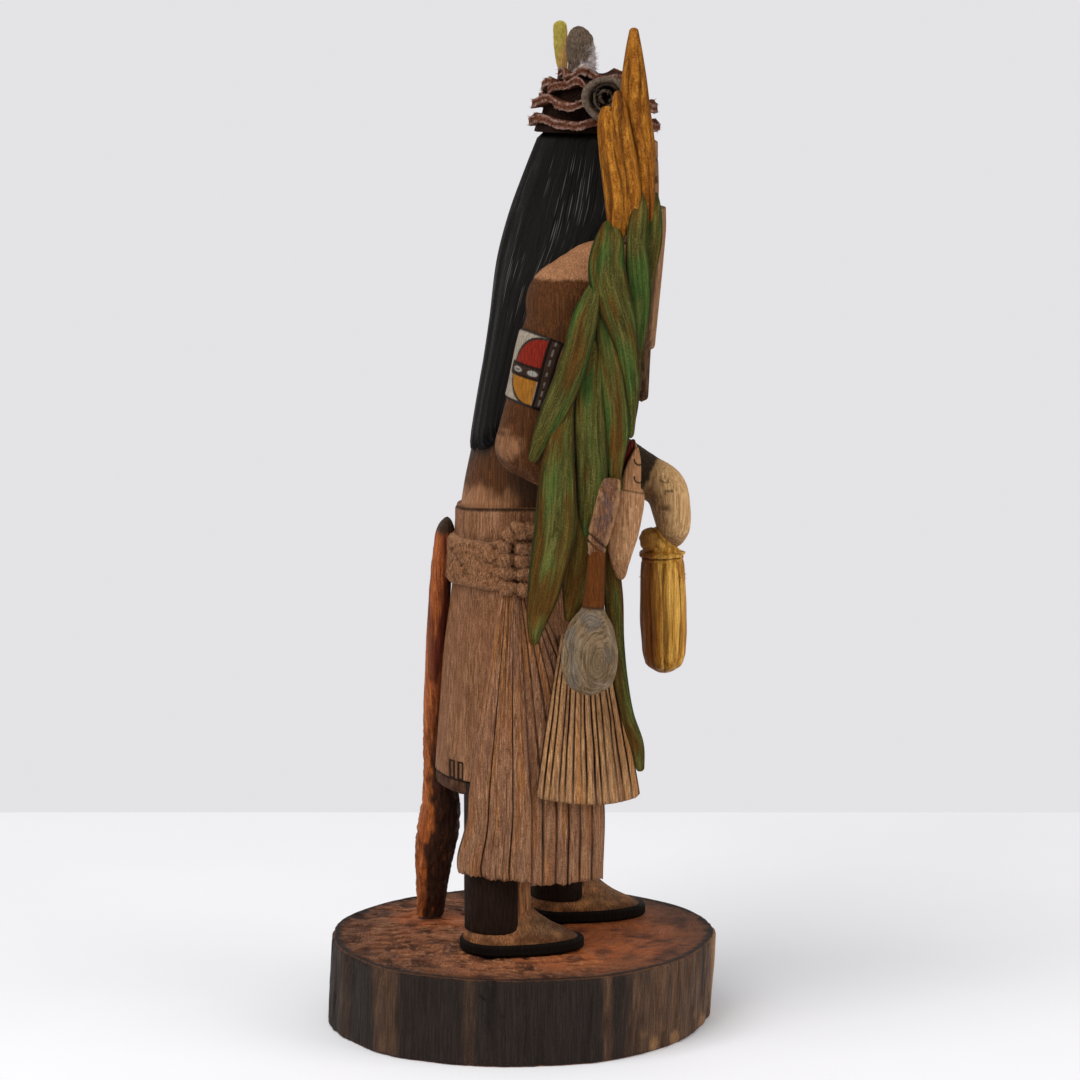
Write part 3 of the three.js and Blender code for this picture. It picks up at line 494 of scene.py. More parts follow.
def stained_wood(
    name, light, dark, wash, *, coats, line="#120a05", streak="#241409", streaks=0.35, fibres=(0.35, 0.8),
    washes=(1.6, 2), share=0.5, specks=0.4, speck="#d9b48c", crumbs=0.36, rough=0.6, depth=0.12, bare=0.15,
    sheen=0.07
):
    """Carved cottonwood root under a thin brushed stain.

    Fine fibres vary from dark to light, broad washes shift the hue, dark streaks follow the grain, pale
    specks show worn wood and crumbs mottle it all. Coats are opaque colours laid where the carving's marks
    say, worn through in pin-sized spots as `bare` rises. The cut mark darkens towards `line`: drawn lines on
    some pieces, painted shade in grooves, cracks, creases and hollows on others. Lengths are in millimetres.
    """
    material = bpy.data.materials.new(name)
    tree = emptied(material)
    fibre = node(tree, "ShaderNodeAttribute", {"attribute_name": "fibre"}, {}, "Vector")
    thread = patches(tree, fibre, fibres, 0.38, 0.62, 5.0, 0.7)
    broad = patches(tree, fibre, washes, 0.42, 0.58, 3.0, 0.55)
    gaps = patches(tree, fibre, (fibres[0] * 2.4, fibres[1] * 1.4), 0.54, 0.68, 4.0, 0.65)
    pores = patches(tree, fibre, (0.24, 0.42), 0.56, 0.70, 2.0, 0.5)
    mottle = patches(tree, fibre, (0.26, 0.36), 0.25, 0.75, 3.0, 0.7)

    def blend(share_of, low, high, amount=1.0):
        if amount != 1.0:
            share_of = node(tree, "ShaderNodeMath", {"operation": "MULTIPLY"}, {0: share_of, 1: amount})
        return node(tree, "ShaderNodeMix", MIX, {0: share_of, 6: low, 7: high}, 2)

    colour = blend(thread, linear(dark), linear(light))
    colour = blend(broad, colour, linear(wash), share)
    colour = blend(gaps, colour, linear(streak), streaks)
    colour = blend(pores, colour, linear(speck), specks)
    holes = patches(tree, fibre, (0.5, 1.6), bare - 0.02, bare + 0.08, 2.0, 0.5)
    for coat, shade in coats.items():
        kept = node(tree, "ShaderNodeMath", {"operation": "MULTIPLY"}, {0: mark(tree, coat), 1: holes})
        toned = node(tree, "ShaderNodeMapRange", {}, {"Value": thread, "To Min": 0.7, "To Max": 1.22})
        shaded = node(
            tree, "ShaderNodeVectorMath", {"operation": "SCALE"}, {0: linear(shade)[:3], "Scale": toned})
        colour = node(tree, "ShaderNodeMix", MIX, {0: kept, 6: colour, 7: shaded}, 2)
    colour = blend(mark(tree, "cut"), colour, linear(line), 0.94)
    grit = node(tree, "ShaderNodeMapRange", {}, {
        "Value": mottle, "To Min": 1 - crumbs * 1.2, "To Max": 1 + crumbs})
    colour = node(tree, "ShaderNodeVectorMath", {"operation": "SCALE"}, {0: colour, "Scale": grit})
    height = node(tree, "ShaderNodeMath", {"operation": "MULTIPLY_ADD"}, {0: mottle, 1: 0.9, 2: thread})
    normal = node(tree, "ShaderNodeBump", {}, {"Strength": 0.9, "Distance": depth * MM, "Height": height})
    dull = node(tree, "ShaderNodeMapRange", {}, {
        "Value": thread, "To Min": rough + 0.12, "To Max": rough - 0.08})
    surface = node(tree, "ShaderNodeBsdfPrincipled", {}, {
        "Base Color": colour, "Roughness": dull, "Normal": normal, "Specular IOR Level": sheen})
    node(tree, "ShaderNodeOutputMaterial", {}, {"Surface": surface})
    return material


# --- the log


def log_carving(size):
    """A slice of log: a top chipped with a gouge, a burnt rim and split, fibrous sides."""
    angle = around(720)
    edge = np.linspace(0, math.pi / 2, 6)
    high, round_off = size.height / MM, size.edge / MM
    share = np.concatenate([
        np.linspace(0.006, 0.978, 120), 0.978 + 0.022 * np.sin(edge), np.ones(56), 0.98 + 0.02 * np.cos(edge),
        np.linspace(0.96, 0.01, 5)])
    z = np.concatenate([
        np.full(120, high), high - round_off * (1 - np.cos(edge)),
        np.linspace(high - round_off - 0.4, round_off + 0.4, 56), round_off * (1 - np.sin(edge)), np.zeros(5)])
    bark = 0.012 * np.sin(2 * angle + math.pi) + 0.007 * np.sin(5 * angle + 2) + 0.004 * np.sin(11 * angle)
    x = -0.34 + np.cos(angle) * share[:, None] * size.half_wide / MM * (1 + bark)
    y = 0.39 + 1.5 * (
        0.5 - z[:, None] / high) + np.sin(angle) * share[:, None] * size.half_deep / MM * (1 + bark)
    skin = placed(x, y, z[:, None])

    top = (z[:, None] > high - 0.3) * np.ones_like(x)
    inner = step(1.0, 0.93, share)[:, None]
    # Gouge chips: short scoops that lie across the slice, strongest behind and beside the feet.
    swirl = skin + 2.2 * grain(skin, 9, 14)[..., None]
    chips = grain(swirl, (1.5, 3.6, 9), 3) + 0.6 * grain(swirl, (0.9, 1.8, 9), 4)
    ridges = 1 - unit(np.abs(chips) * 1.9)
    chipped = np.clip(step(-30, 2, y) + 0.45 * step(-10, -34, x), 0.25, 1)
    side = (z[:, None] < high - 0.3) & (z[:, None] > 0.3)
    fibres = 0.26 * grain(skin, (0.8, 16), 5) + 0.35 * grain(skin, (3.4, 30), 6)
    fibres -= 0.45 * step(0.45, 0.62, grain(skin, (1.5, 26), 7))
    splits = step(0.40, 0.55, grain(skin, (2.2, 44), 8)) * step(3, 12, z)[:, None]
    slant = np.abs(z[:, None] - 12 - 0.9 * (y - 2) + 0.5 * grain(skin, 2, 15))
    crack = 0.7 * step(0.34, 0.06, slant) * (np.abs(y - 7) < 6) * (x < 0)
    relief = np.where(side, fibres - 0.5 * splits - 0.5 * crack, 0.0)
    skin[..., 0] += np.cos(angle) * (relief - 0.45)
    skin[..., 1] += np.sin(angle) * (relief - 0.45)
    skin[..., 2] -= top * inner * (
        0.15 + chipped * (0.5 * (1 - ridges) * step(0.25, -0.6, chips) + 0.12 * (1 - ridges)))
    ragged = grain(skin, (2.4, 3), 9)
    fine = grain(skin, (0.7, 30), 16)
    reach = share[:, None] + 0.02 * ragged + 0.012 * fine
    burnt = top * step(0.94, 0.985, reach) * 0.9 + top * 0.5 * step(
        0.66, 0.93, reach + 0.12 * grain(skin, 6, 17))

    def streak(at, width):
        return step(width, width * 0.4, np.abs(y - at) + 0.7 * np.abs(fine)) * (x < 4)

    # Brown bands: one broad and soft near the heel, weathered, and a wide one round the front, partly
    # weathered and partly painted light on that side.
    streaked = np.maximum.reduce([
        0.75 * streak(38.4, 5.0), 0.25 * streak(51.4, 3.2), 0.35 * streak(14.5, 2.6), 0.9 * streak(-24.5, 1.8),
        0.85 * step(-27, -36, y + 2.5 * fine) * (x < 4)])
    streaked = np.maximum(streaked, 0.9 * step(0.35, 0.6, grain(skin, (4, 70), 10)) * (x > 4))
    pale = side * streaked * (0.45 + 0.55 * step(-0.6, 0.6, grain(skin, (0.7, 9), 11)))
    # Bare, torn patches near the foot of the front.
    low = step(8.5, 1.5, z)[:, None]
    torn = 0.8 * side * low * step(-24, -34, y) * step(0.05, 0.5, grain(skin, (3.2, 5), 12))
    torn = np.maximum(torn, side * step(-54.8, -56.4, y) * step(0.9, 0.5, np.abs(fine)))
    ring_wave = np.sin(np.hypot(x * 1.04, y) * 2.1 + 2.2 * grain(skin, (14, 20), 18))
    rings = top * step(0.1, 0.9, ring_wave + 0.5 * fine) * (1 - 0.75 * chipped) * 0.55
    # Painted light: a pool of light brightens the middle of the top and a patch by the pelt's foot.
    glow = top * step(1.0, 0.3, np.hypot((y + 20) / 40, (x + 8) / 46)) * (0.75 + 0.5 * ragged)
    glow = unit(glow + top * step(15, 4, np.hypot(y - 27.5, x - 16)) * 0.9)
    shade = top * unit(step(-0.05, 0.55, grain(skin, (6, 4, 9), 13) + 0.45 * ragged) * 0.8)
    # Painted shade in the chip hollows and a painted highlight on their ridges; the cut mark also lays painted
    # shade in the splits and the crack.
    hollow_shade = top * inner * chipped * step(0.1, -0.5, chips)
    light = top * inner * chipped * step(0.72, 0.98, ridges) * 0.8
    return Carving().add(
        skin, cut=unit(0.55 * hollow_shade + 0.5 * splits * side + crack * side), bark=side, burnt=unit(burnt),
        pale=pale, torn=torn, glow=glow, shade=shade, ringed=rings, ridge=light)


class LogSettings(bpy.types.PropertyGroup):
    """Sizes of the log slice"""

    height: FloatProperty(name="Height", description="Thickness of the slice", default=25 * MM, unit="LENGTH")
    half_wide: FloatProperty(
        name="Half width", description="Half its width across the doll", default=53.6 * MM, unit="LENGTH")
    half_deep: FloatProperty(
        name="Half depth", description="Half its depth from heel to toe", default=56.4 * MM, unit="LENGTH")
    edge: FloatProperty(name="Edge", description="Worn radius of the rim", default=1.1 * MM, unit="LENGTH")


class KACHINA_OT_log(bpy.types.Operator):
    """Cuts the slice of log that the doll stands on"""

    bl_idname = "kachina.log"
    bl_label = "Log slice"

    def execute(self, context):
        # Sawn cottonwood log, top pared with a gouge and rubbed with red earth, side weathered nearly black.
        finish = stained_wood(
            "Sawn cottonwood, red-stained top", "#c27b52", "#66361e", "#965738", fibres=(0.45, 12),
            washes=(5, 5), specks=0.34, speck="#b9835c", crumbs=0.38, depth=0.16,
            # The pool of light on the top and the pale chip ridges are painted light.
            coats={
                "glow": "#cc6c32", "shade": "#4a2413", "ringed": "#8a4d2b", "ridge": "#c98c62",
                "burnt": "#22160f", "bark": "#281d17", "pale": "#6f4f38", "torn": "#a57b50"},
            bare=0.1, sheen=0.2)
        piece("log", log_carving(context.scene.kachina_log), finish, "base")
        return {"FINISHED"}


# --- hair, body and arms


def hair_carving(size):
    """Long loose hair: fine cut strands that sweep back over the shoulders to a ragged end."""
    angle = around(900)
    z = np.concatenate([np.linspace(162.4, 250, 120), np.linspace(251, 257.2, 12)])
    flow = z[:, None] * np.ones_like(angle)
    # The strands over each shoulder sweep towards the back as they fall.
    side = step(0.0, 0.35, np.abs(np.cos(angle))) * np.where(np.cos(angle) < 0, 1, -1)
    sweep = 16 * step(238, 212, flow) * step(9, -13, np.sin(angle) * 24) * side / 24
    turned = angle + sweep
    place = placed(np.cos(turned) * 24, np.sin(turned) * 24, flow)
    drift = 0.9 * grain(place, (6, 60), 21) + 0.3 * grain(place, (1.6, 30), 22)
    comb = np.abs(np.sin(size.strands / 2 * turned + drift * math.pi))
    depth = size.depth / MM * (0.5 + 0.5 * grain(place, (1.0, 60), 23))
    locks = 0.4 * grain(place, (2.6, 70), 24)
    tuck = -1.6 * step(170, 163.8, flow + 1.6 * grain(place, (0.7, 9), 25))
    skin = wall(HAIR, z, angle, lift=depth * (comb**0.7 - 1) + locks + tuck - 0.1, ends=1.2)
    # The foot of the hair rises from the back towards the arms.
    rise = 1.1 * np.clip(15.2 - skin[..., 1], 0, 9)
    skin[..., 2] += rise * unit((192 - flow) / 28.5)
    # Painted highlight: a few ridges are made bright where the hair turns over the head and the shoulder.
    rubbed = 0.75 * step(0.1, 0.5, grain(place, (0.5, 6), 26)) * step(0.9, 0.99, comb)
    rubbed = rubbed * step(0.1, 0.5, grain(place, (6, 14), 27) + step(196, 222, flow) * 0.65 - 0.2)
    # The cut mark lays painted shade in the grooves between the strands.
    return Carving((3, 1)).add(
        skin, fibre=place, cut=unit(1.1 - comb * 1.3), rubbed=rubbed * step(253, 246, flow))


def torso_carving():
    """The bare back and chest under the hair."""
    angle = around(300)
    z = np.linspace(141, 226, 150)
    skin = wall(TORSO, z, angle)
    lift = 0.12 * grain(skin, (5, 14), 31) + 0.05 * grain(skin, (0.7, 9), 32)
    skin = wall(TORSO, z, angle, lift=lift, ends=2.0)
    height = skin[..., 2] + 2.0 * grain(skin, (2.5, 4), 33)
    front = step(10, -4, skin[..., 1])
    tan = step(158.5, 154.5, height) * step(-2, 7, skin[..., 1]) * 0.8
    shadow = step(152, 158, height) * front * 0.8 + step(158, 176, height) * 0.45 + front * 0.3
    under = step(163.5, 167.5, height + 0.77 * np.clip(skin[..., 1] - 15.2, -10, 0) + 1.5)
    return Carving().add(skin, light=tan, shade=np.clip(shadow, 0, 0.85), black=under * 0.75)


def arm_skins(arm, extra=()):
    """The overlapping skins of one arm: shoulder, neck, upper arm, elbow, forearm."""
    t, angle = np.linspace(0, 1, 60), around(48)
    side = (1, 0, 0)
    upper = limb(arm["upper"], side, t, angle, keyed(UPPER_ACROSS, t), keyed(UPPER_OUT, t))
    fore = limb(arm["fore"], side, t, angle, keyed(arm["fore_across"], t), keyed(arm["fore_out"], t))
    bridge = [(np.array(one) + two) / 2 for one, two in zip(arm["shoulder"], arm["neck"])]
    return [egg(*arm["shoulder"]), egg(*bridge), egg(*arm["neck"]), upper, egg(*arm["elbow"]), fore, *extra]


def arm_carving(arm, extra=()):
    """One arm as a single carved skin; light on its shoulder top, painted light round the elbow."""
    points, normals, faces = fused(arm_skins(arm, extra), 0.68, 4)
    relief = 0.10 * grain(points, (3.5, 9), 41) + 0.05 * grain(points, (0.6, 7), 42)
    points = points + normals * relief[:, None]
    y, z = points[:, 1], points[:, 2]
    ragged = grain(points, 1.2, 43)
    light = step(217.6, 218.6, z + 0.4 * ragged) * (0.92 + 0.15 * grain(points, (3, 2), 45))
    # Painted light: a highlight on the elbow, and on faces turned down in the arm's lower part.
    elbow = 0.6 * step(5.6, 1.6, np.hypot(y - 3.5, z - 172) + 1.8 * ragged)
    under = step(0.3, 0.95, -normals[:, 2]) * 0.35 * step(0.2, -0.5, ragged)
    return points, normals, faces, unit(np.maximum(light, (elbow + under) * (z < 184)))


def band_carving(arm):
    """The painted armband: a thin raised cuff whose pattern is cut in and filled."""
    start, end = ARMBAND
    middle, _ = course(arm["upper"], np.array([start, end]))
    t, angle = np.linspace(0, 1, 170), around(480)
    whole = start + t * (end - start)
    edge = 0.6 * drawn_in(np.minimum(t, 1 - t), 0.022)
    across = keyed(UPPER_ACROSS, whole) + 0.6 - edge
    out = keyed(UPPER_OUT, whole) + 0.6 - edge
    skin = limb(arm["upper"], (1, 0, 0), whole, angle, across, out)
    # Arc length in millimetres from the middle of the arm's outer face, positive towards the doll's back.
    turn = angle - math.pi if arm is RIGHT_ARM else -((angle + math.pi) % TURN - math.pi)
    back = 1 if skin[0, np.argmax(turn), 1] > middle[0, 1] else -1
    arc = back * turn[None, :] * 9.3 * np.ones((len(t), 1))
    length = np.linalg.norm(middle[1] - middle[0])
    down = t[:, None] * length * np.ones_like(arc)
    return skin, arc, down, length


def band_marks(arc, down, length):
    """The pattern: a white field with a red and an ochre quarter-disc, then dark and tan upright bars."""

    def inside(distance, soft=0.12):
        return step(soft, -soft, distance)

    upright = 1.7  # the pattern's upright edge
    red_foot, ochre_head = 8.2, 11.2
    red_reach = np.hypot((arc - upright) / 1.2, down - red_foot)
    ochre_reach = np.hypot((arc - upright - 0.6) / 1.15, down - ochre_head)
    behind = inside(upright - arc)
    field = behind * inside(arc - 12.4)
    red = inside(red_reach - 7.3) * inside(down - red_foot) * behind
    ochre = inside(ochre_reach - 7.4) * inside(ochre_head - down) * inside(upright + 0.6 - arc)
    bar = inside(np.abs(down - 9.7) - 1.5) * field
    ovals = np.maximum(
        inside(np.hypot((arc - 9.0) / 1.7, (down - 9.7) / 0.7) - 1, 0.15),
        inside(np.hypot((arc - 4.0) / 1.5, (down - 9.7) / 0.7) - 1, 0.15))
    ovals = ovals * (1 - 0.8 * inside(np.hypot((arc - 9.0) / 0.9, (down - 9.7) / 0.3) - 1, 0.15))
    stripe = inside(np.abs(arc - 0.4) - 1.6)
    broken = step(-0.25, 0.15, np.sin(down * 2.3) + 0.6 * np.sin(down * 5.1))
    thin = inside(np.abs(arc - 0.3) - 0.22) * broken
    tan = inside(np.abs(arc + 2.3) - 0.75)
    white = behind * inside(arc - 18)
    lines = np.maximum.reduce([
        inside(np.abs(down - 0.3) - 0.4), inside(np.abs(down - length + 0.35) - 0.4),
        inside(np.abs(red_reach - 7.4) - 0.28) * inside(down - red_foot) * behind,
        inside(np.abs(ochre_reach - 7.5) - 0.3) * inside(ochre_head - down) * behind,
        inside(np.abs(down - red_foot) - 0.3) * field, inside(np.abs(down - ochre_head) - 0.3) * field,
        inside(np.abs(arc - upright) - 0.42), inside(np.abs(arc + 1.3) - 0.3), inside(np.abs(arc + 3.2) - 0.25),
        inside(np.abs(arc - 18.2) - 0.3)])
    return {
        "white": white, "red": red, "ochre": ochre, "dark": unit(bar + stripe),
        "pale": unit(0.85 * ovals + 0.45 * thin), "tan": tan, "cut": unit(lines)}


class BodySettings(bpy.types.PropertyGroup):
    """How many strands are cut in the hair, and how deep"""

    strands: IntProperty(name="Strands", description="Cut strands of hair round the head", default=190, min=40)
    depth: FloatProperty(
        name="Strand depth", description="How deep the strands are cut", default=0.34 * MM, unit="LENGTH")


class KACHINA_OT_hair(bpy.types.Operator):
    """Carves the long black hair"""

    bl_idname = "kachina.hair"
    bl_label = "Hair"

    def execute(self, context):
        # Black casein paint brushed thin over combed cuts: satin ridges, a few with painted highlights, and
        # painted shade in the cuts.
        finish = stained_wood(
            "Black paint on combed wood", "#0d0a08", "#050404", "#0d0806", line="#030303", streak="#050505",
            streaks=0.5, fibres=(0.3, 26), washes=(3, 40), specks=0.05, speck="#4a4541", crumbs=0.12,
            rough=0.42, depth=0.05, coats={"rubbed": "#77726e"}, bare=0.1, sheen=0.1)
        piece("hair", hair_carving(context.scene.kachina_body), finish)
        return {"FINISHED"}


class KACHINA_OT_body(bpy.types.Operator):
    """Carves the torso, both arms and the painted armbands"""

    bl_idname = "kachina.body"
    bl_label = "Torso and arms"

    def execute(self, context):
        # Cottonwood under a walnut-brown stain, rubbed back to pale wood on the shoulders; the light on the
        # elbows is painted light.
        skin = stained_wood(
            "Walnut-stained cottonwood", "#5f3410", "#351b06", "#4c2908", streaks=0.45, fibres=(0.5, 8),
            washes=(3, 12), specks=0.14, speck="#a87e55", crumbs=0.2, rough=0.5, depth=0.1,
            coats={"shade": "#33200f", "light": "#a47451", "black": "#171009"}, bare=0.12, sheen=0.12)
        # The same cottonwood left nearly bare on the hand, with two brush strokes.
        pale = stained_wood(
            "Bare rubbed cottonwood", "#e0b884", "#9c7247", "#c89e6c", streak="#7a5533", streaks=0.2,
            fibres=(0.5, 10), washes=(4, 10), share=0.4, specks=0.1, crumbs=0.14, rough=0.55, depth=0.05,
            coats={"sleeve": "#33281a", "shade": "#5b3e27"}, bare=0.05)
        # Opaque clay and mineral paints, thin enough for the wood's pores to show.
        paints = stained_wood(
            "Mineral paint on cottonwood", "#5d3c26", "#352014", "#4a2c1b", line="#0d0806", streaks=0.3,
            fibres=(0.3, 4), washes=(4.5, 16.0), share=0.4, specks=0.12, crumbs=0.2, rough=0.55, depth=0.06,
            coats={
                "white": "#968b7d", "red": "#782014", "ochre": "#94601f", "dark": "#33231a", "pale": "#9a958f",
                "tan": "#8a6242"},
            bare=0.12)
        piece("torso", torso_carving(), skin)
        points, _, faces, light = arm_carving(RIGHT_ARM)
        piece("right_arm", fused_carving(points, faces, light=light), skin)

        t, angle = np.linspace(0, 1, 90), around(60)
        closing = rounded(t, 0.0, 0.16)
        fist = limb(
            LEFT_FIST, (1, 0, 0), t, angle, keyed([(0, 6.4), (0.5, 6.8), (0.85, 5.8), (1, 3.6)], t) * closing,
            keyed([(0, 6.4), (0.45, 6.2), (0.8, 5.2), (1, 3.2)], t) * closing)
        points, normals, faces, _ = arm_carving(LEFT_ARM, [fist])
        x, y, z = points.T
        ragged = grain(points, 1.0, 51)
        hand = step(-36.6, -38.0, y + 0.5 * (z - 156) + 0.6 * ragged)
        near = x < 20
        hook = step(0.4, 0.1, np.abs(np.hypot(y + 41.6, z - 156.2) - 1.1)) * (z < 156.2)
        arch = step(0.4, 0.1, np.abs(np.hypot(y + 43.0, z - 151.4) - 1.5)) * (z > 150.9) * (y > -44.2)
        stroke = np.maximum(hook * 0.8, arch) * near
        smudge = 0.75 * step(2.4, 0.5, np.hypot(y + 42.0, (z - 147.6) * 1.5) + 0.8 * ragged) * near
        under = step(0.0, 0.9, -normals[:, 2]) * 0.6 + step(-43, -37, y + 0.7 * ragged) * 0.7
        left = fused_carving(
            points, faces, cut=stroke, shade=np.clip(under * hand + smudge, 0, 0.9), sleeve=1 - hand)
        piece("left_arm", left, pale)
        for arm, name, every in ((RIGHT_ARM, "right_armband", (2, 2)), (LEFT_ARM, "left_armband", (3, 3))):
            skin_points, arc, down, length = band_carving(arm)
            marks = band_marks(arc, down, length)
            outward = (skin_points - skin_points.mean(axis=1, keepdims=True)) * (1, 1, 0)
            outward /= np.linalg.norm(outward, axis=2)[..., None]
            carved = skin_points - outward * (0.22 * marks["cut"])[..., None]
            piece(name, Carving(every).add(carved, fibre=skin_points, **marks), paints)
        return {"FINISHED"}


# --- kilt, belt, sash and fringes


def kilt_side(y, z):
    """X of the kilt's right side."""
    middle = keyed(KILT["middle"], z)
    half = np.where(y > middle, keyed(KILT["back"], z) - middle, middle - keyed(KILT["front"], z))
    reach = np.clip(np.abs(y - middle) / half, 0, 0.985)
    return -keyed(KILT["wide"], z) * np.sqrt(1 - reach**2)


def kilt_carving():
    """A smooth kilt: a cut line above its hem, a ragged border below, two small boxes beside the fringe."""
    angle = np.sort(np.concatenate([around(400), np.linspace(2.1, 2.6, 120)]))
    z = np.concatenate([np.linspace(70.5, 72, 5), np.linspace(72.3, 82, 70), np.linspace(82.5, 147, 100)])
    skin = wall(KILT, z, angle)
    x, y = skin[..., 0], skin[..., 1]
    height = skin[..., 2]
    ragged = grain(skin, 1.6, 61)
    hem = step(74.4, 74.0, height)
    line = step(0.5, 0.3, np.abs(height - 74.3))
    boxes = np.zeros_like(height)
    for at in (17.5, 19.9):
        edge = np.maximum(np.abs(y - at) - 0.6, np.abs(height - 77.1) - 2.3)
        boxes = np.maximum(boxes, step(0.42, 0.2, np.abs(edge)) * (x < 0))
        boxes = np.maximum(boxes, 0.35 * step(0.0, -0.1, edge) * (x < 0))
    lift = 0.06 * grain(skin, (0.8, 12), 62) + 0.15 * grain(skin, (7, 24), 63)
    lift = lift - 0.35 * line - 0.2 * boxes - 0.5 * hem + 0.3 * hem * ragged
    skin = wall(KILT, z, angle, lift=lift, ends=0.7)
    skin[..., 2] += step(72, 70.6, height) * 0.5 * ragged
    worn = step(-0.1, 0.6, grain(skin, (4, 22), 64) + 0.5 * grain(skin, (0.9, 5), 65)) * step(0.2, -0.2, hem)
    return Carving().add(
        skin, cut=unit(line + boxes), border=hem * (0.8 + 0.2 * ragged), pale=worn * 0.75,
        shade=step(0.1, 0.8, grain(skin, (3.4, 16), 66) + 0.4 * ragged) * 0.5 * step(0.2, -0.2, hem))


def waistband_carving():
    """A plain cloth band under the belt, marked off by a cut line at its top."""
    angle, rows = around(400), 60
    t = np.linspace(0, 1, rows)
    z = WAISTBAND["foot"] + t * WAISTBAND["height"]
    top = step(150.8, 151.4, z)[:, None]
    line = step(0.55, 0.25, np.abs(z - 150.8))[:, None]
    skin = wall(KILT, z, angle, lift=0.3)
    lift = 0.45 - 0.5 * top - 0.35 * line + 0.1 * grain(skin, (2.5, 3), 71) + 0.06 * grain(skin, (0.7, 3), 79)
    skin = wall(KILT, z, angle, lift=lift)
    skin[..., 2] += t[:, None] * 1.7 * unit(-np.cos(angle)) ** 2
    return Carving().add(
        skin, cut=line * 0.9, pale=0.35 * step(0.1, 0.6, grain(skin, 2, 70)),
        shade=0.35 * step(147, 143.5, skin[..., 2]))


def sash_carving():
    """A broad belt with a thick worn edge, its top rising to the knot on the right hip."""
    angle, rows = around(720), 90
    t = np.linspace(0, 1, rows)
    side = unit(-np.cos(angle))
    rise = 4.0 * side**2 * step(-0.35, 0.2, -np.sin(angle) + 0.1)
    z = SASH["foot"] + t * SASH["height"]
    edge = np.minimum(t, 1 - t)[:, None] * SASH["height"]
    proud = 2.2 - 2.1 * drawn_in(edge, 1.6)
    skin = wall(KILT, z, angle, lift=proud)
    crust = grain(skin, (1.1, 1.0), 72)
    folds = grain(skin, (9, 2.0), 73)
    proud = proud + 0.2 * crust + 0.28 * folds + 0.13 * grain(skin, (0.5, 0.7), 74)
    skin = wall(KILT, z, angle, lift=proud)
    waver = 0.45 * grain(skin * (1, 1, 0), (3.5, 1), 75)
    skin[..., 2] += t[:, None] * rise + waver
    worn = unit(step(1.5, 0.3, edge + 0.4 * crust) * 0.75 + step(0.2, 0.8, crust) * 0.35)
    pits = np.clip(-0.9 * grain(skin, (1.6, 1.0), 76) - 0.15, 0, 0.6)
    return Carving().add(skin, cut=pits, pale=worn)


def knot_carving():
    """The knotted sash end: a bow over rows of folded lumps, two wide."""
    skins, middles = [], []
    generator = np.random.default_rng(11)
    lumps = [
        (4.4 - 0.3 * row - 4.4 * column, 143.0 - 3.9 * row - 0.4 * column, 2.4, 2.15) for row in range(4)
        for column in range(2)]
    lumps += [(0.4, 147.2, 3.6, 2.4), (3.2, 145.8, 2.8, 2.2), (-3.0, 147.8, 3.0, 2.2)]
    for y, z, wide, tall in lumps:
        centre = np.array((KNOT_X, y, z)) + generator.uniform(-0.45, 0.45, 3)
        ball = egg((0, 0, 0), (1, 1, 1), 24, 32)
        ball = np.sign(ball) * np.abs(ball) ** 0.82 * (2.7, wide + generator.uniform(-0.3, 0.4), tall)
        turn = generator.uniform(-0.35, 0.35)
        c, s = math.cos(turn), math.sin(turn)
        x, across, up = np.moveaxis(ball, -1, 0)
        skins.append(placed(x, across * c - up * s, across * s + up * c) + centre)
        middles.append(centre)
    points, normals, faces = fused(skins, 0.3, 1)
    lump = grain(points, (1.5, 1.2), 77)
    points = points + normals * (0.22 * lump + 0.14 * grain(points, 0.6, 78))[:, None]
    far = np.sort([np.linalg.norm((points - middle)[:, 1:], axis=1) for middle in middles], axis=0)
    # Painted shade in the creases between the lumps.
    crevice_shade = step(0.6, 0.1, far[1] - far[0] + 0.4 * lump) * 0.6
    return fused_carving(points, faces, cut=unit(crevice_shade), pale=unit(0.2 + lump) * 0.6)


def front_marks(rings, columns, **marks):
    """Marks that lie only on the front of a board, the first `columns` columns of its rings."""
    whole = {name: np.zeros(rings.shape[:2]) for name in marks}
    for name, value in marks.items():
        whole[name][:, :columns] = value
    return whole


def fall_skin(low, start, end, proud, columns, lift, rows=170, round_off=0.8):
    """A hanging fall of fringe on the kilt's right side, as a closed stack of rings."""
    z = np.concatenate([
        low + round_off * (1 - np.cos(np.linspace(0, math.pi / 2, 4)))[:-1],
        np.linspace(low + round_off, FRINGE_TOP, rows)])[:, None]
    u = np.linspace(0, 1, columns)[None]
    y = start(z) + (end(z) - start(z)) * u
    near = np.minimum(u, 1 - u) * (end(z) - start(z))
    edge = np.minimum(near, z - low)
    closing = proud * drawn_in(edge, round_off) * 0.55
    outer_x = kilt_side(y, z) - (proud - closing + lift(u, z))
    outer = placed(outer_x, y, z)
    inner = placed(kilt_side(y, z) + 2.5, y, z)[:, ::-1]
    return np.concatenate([outer, inner], axis=1), outer


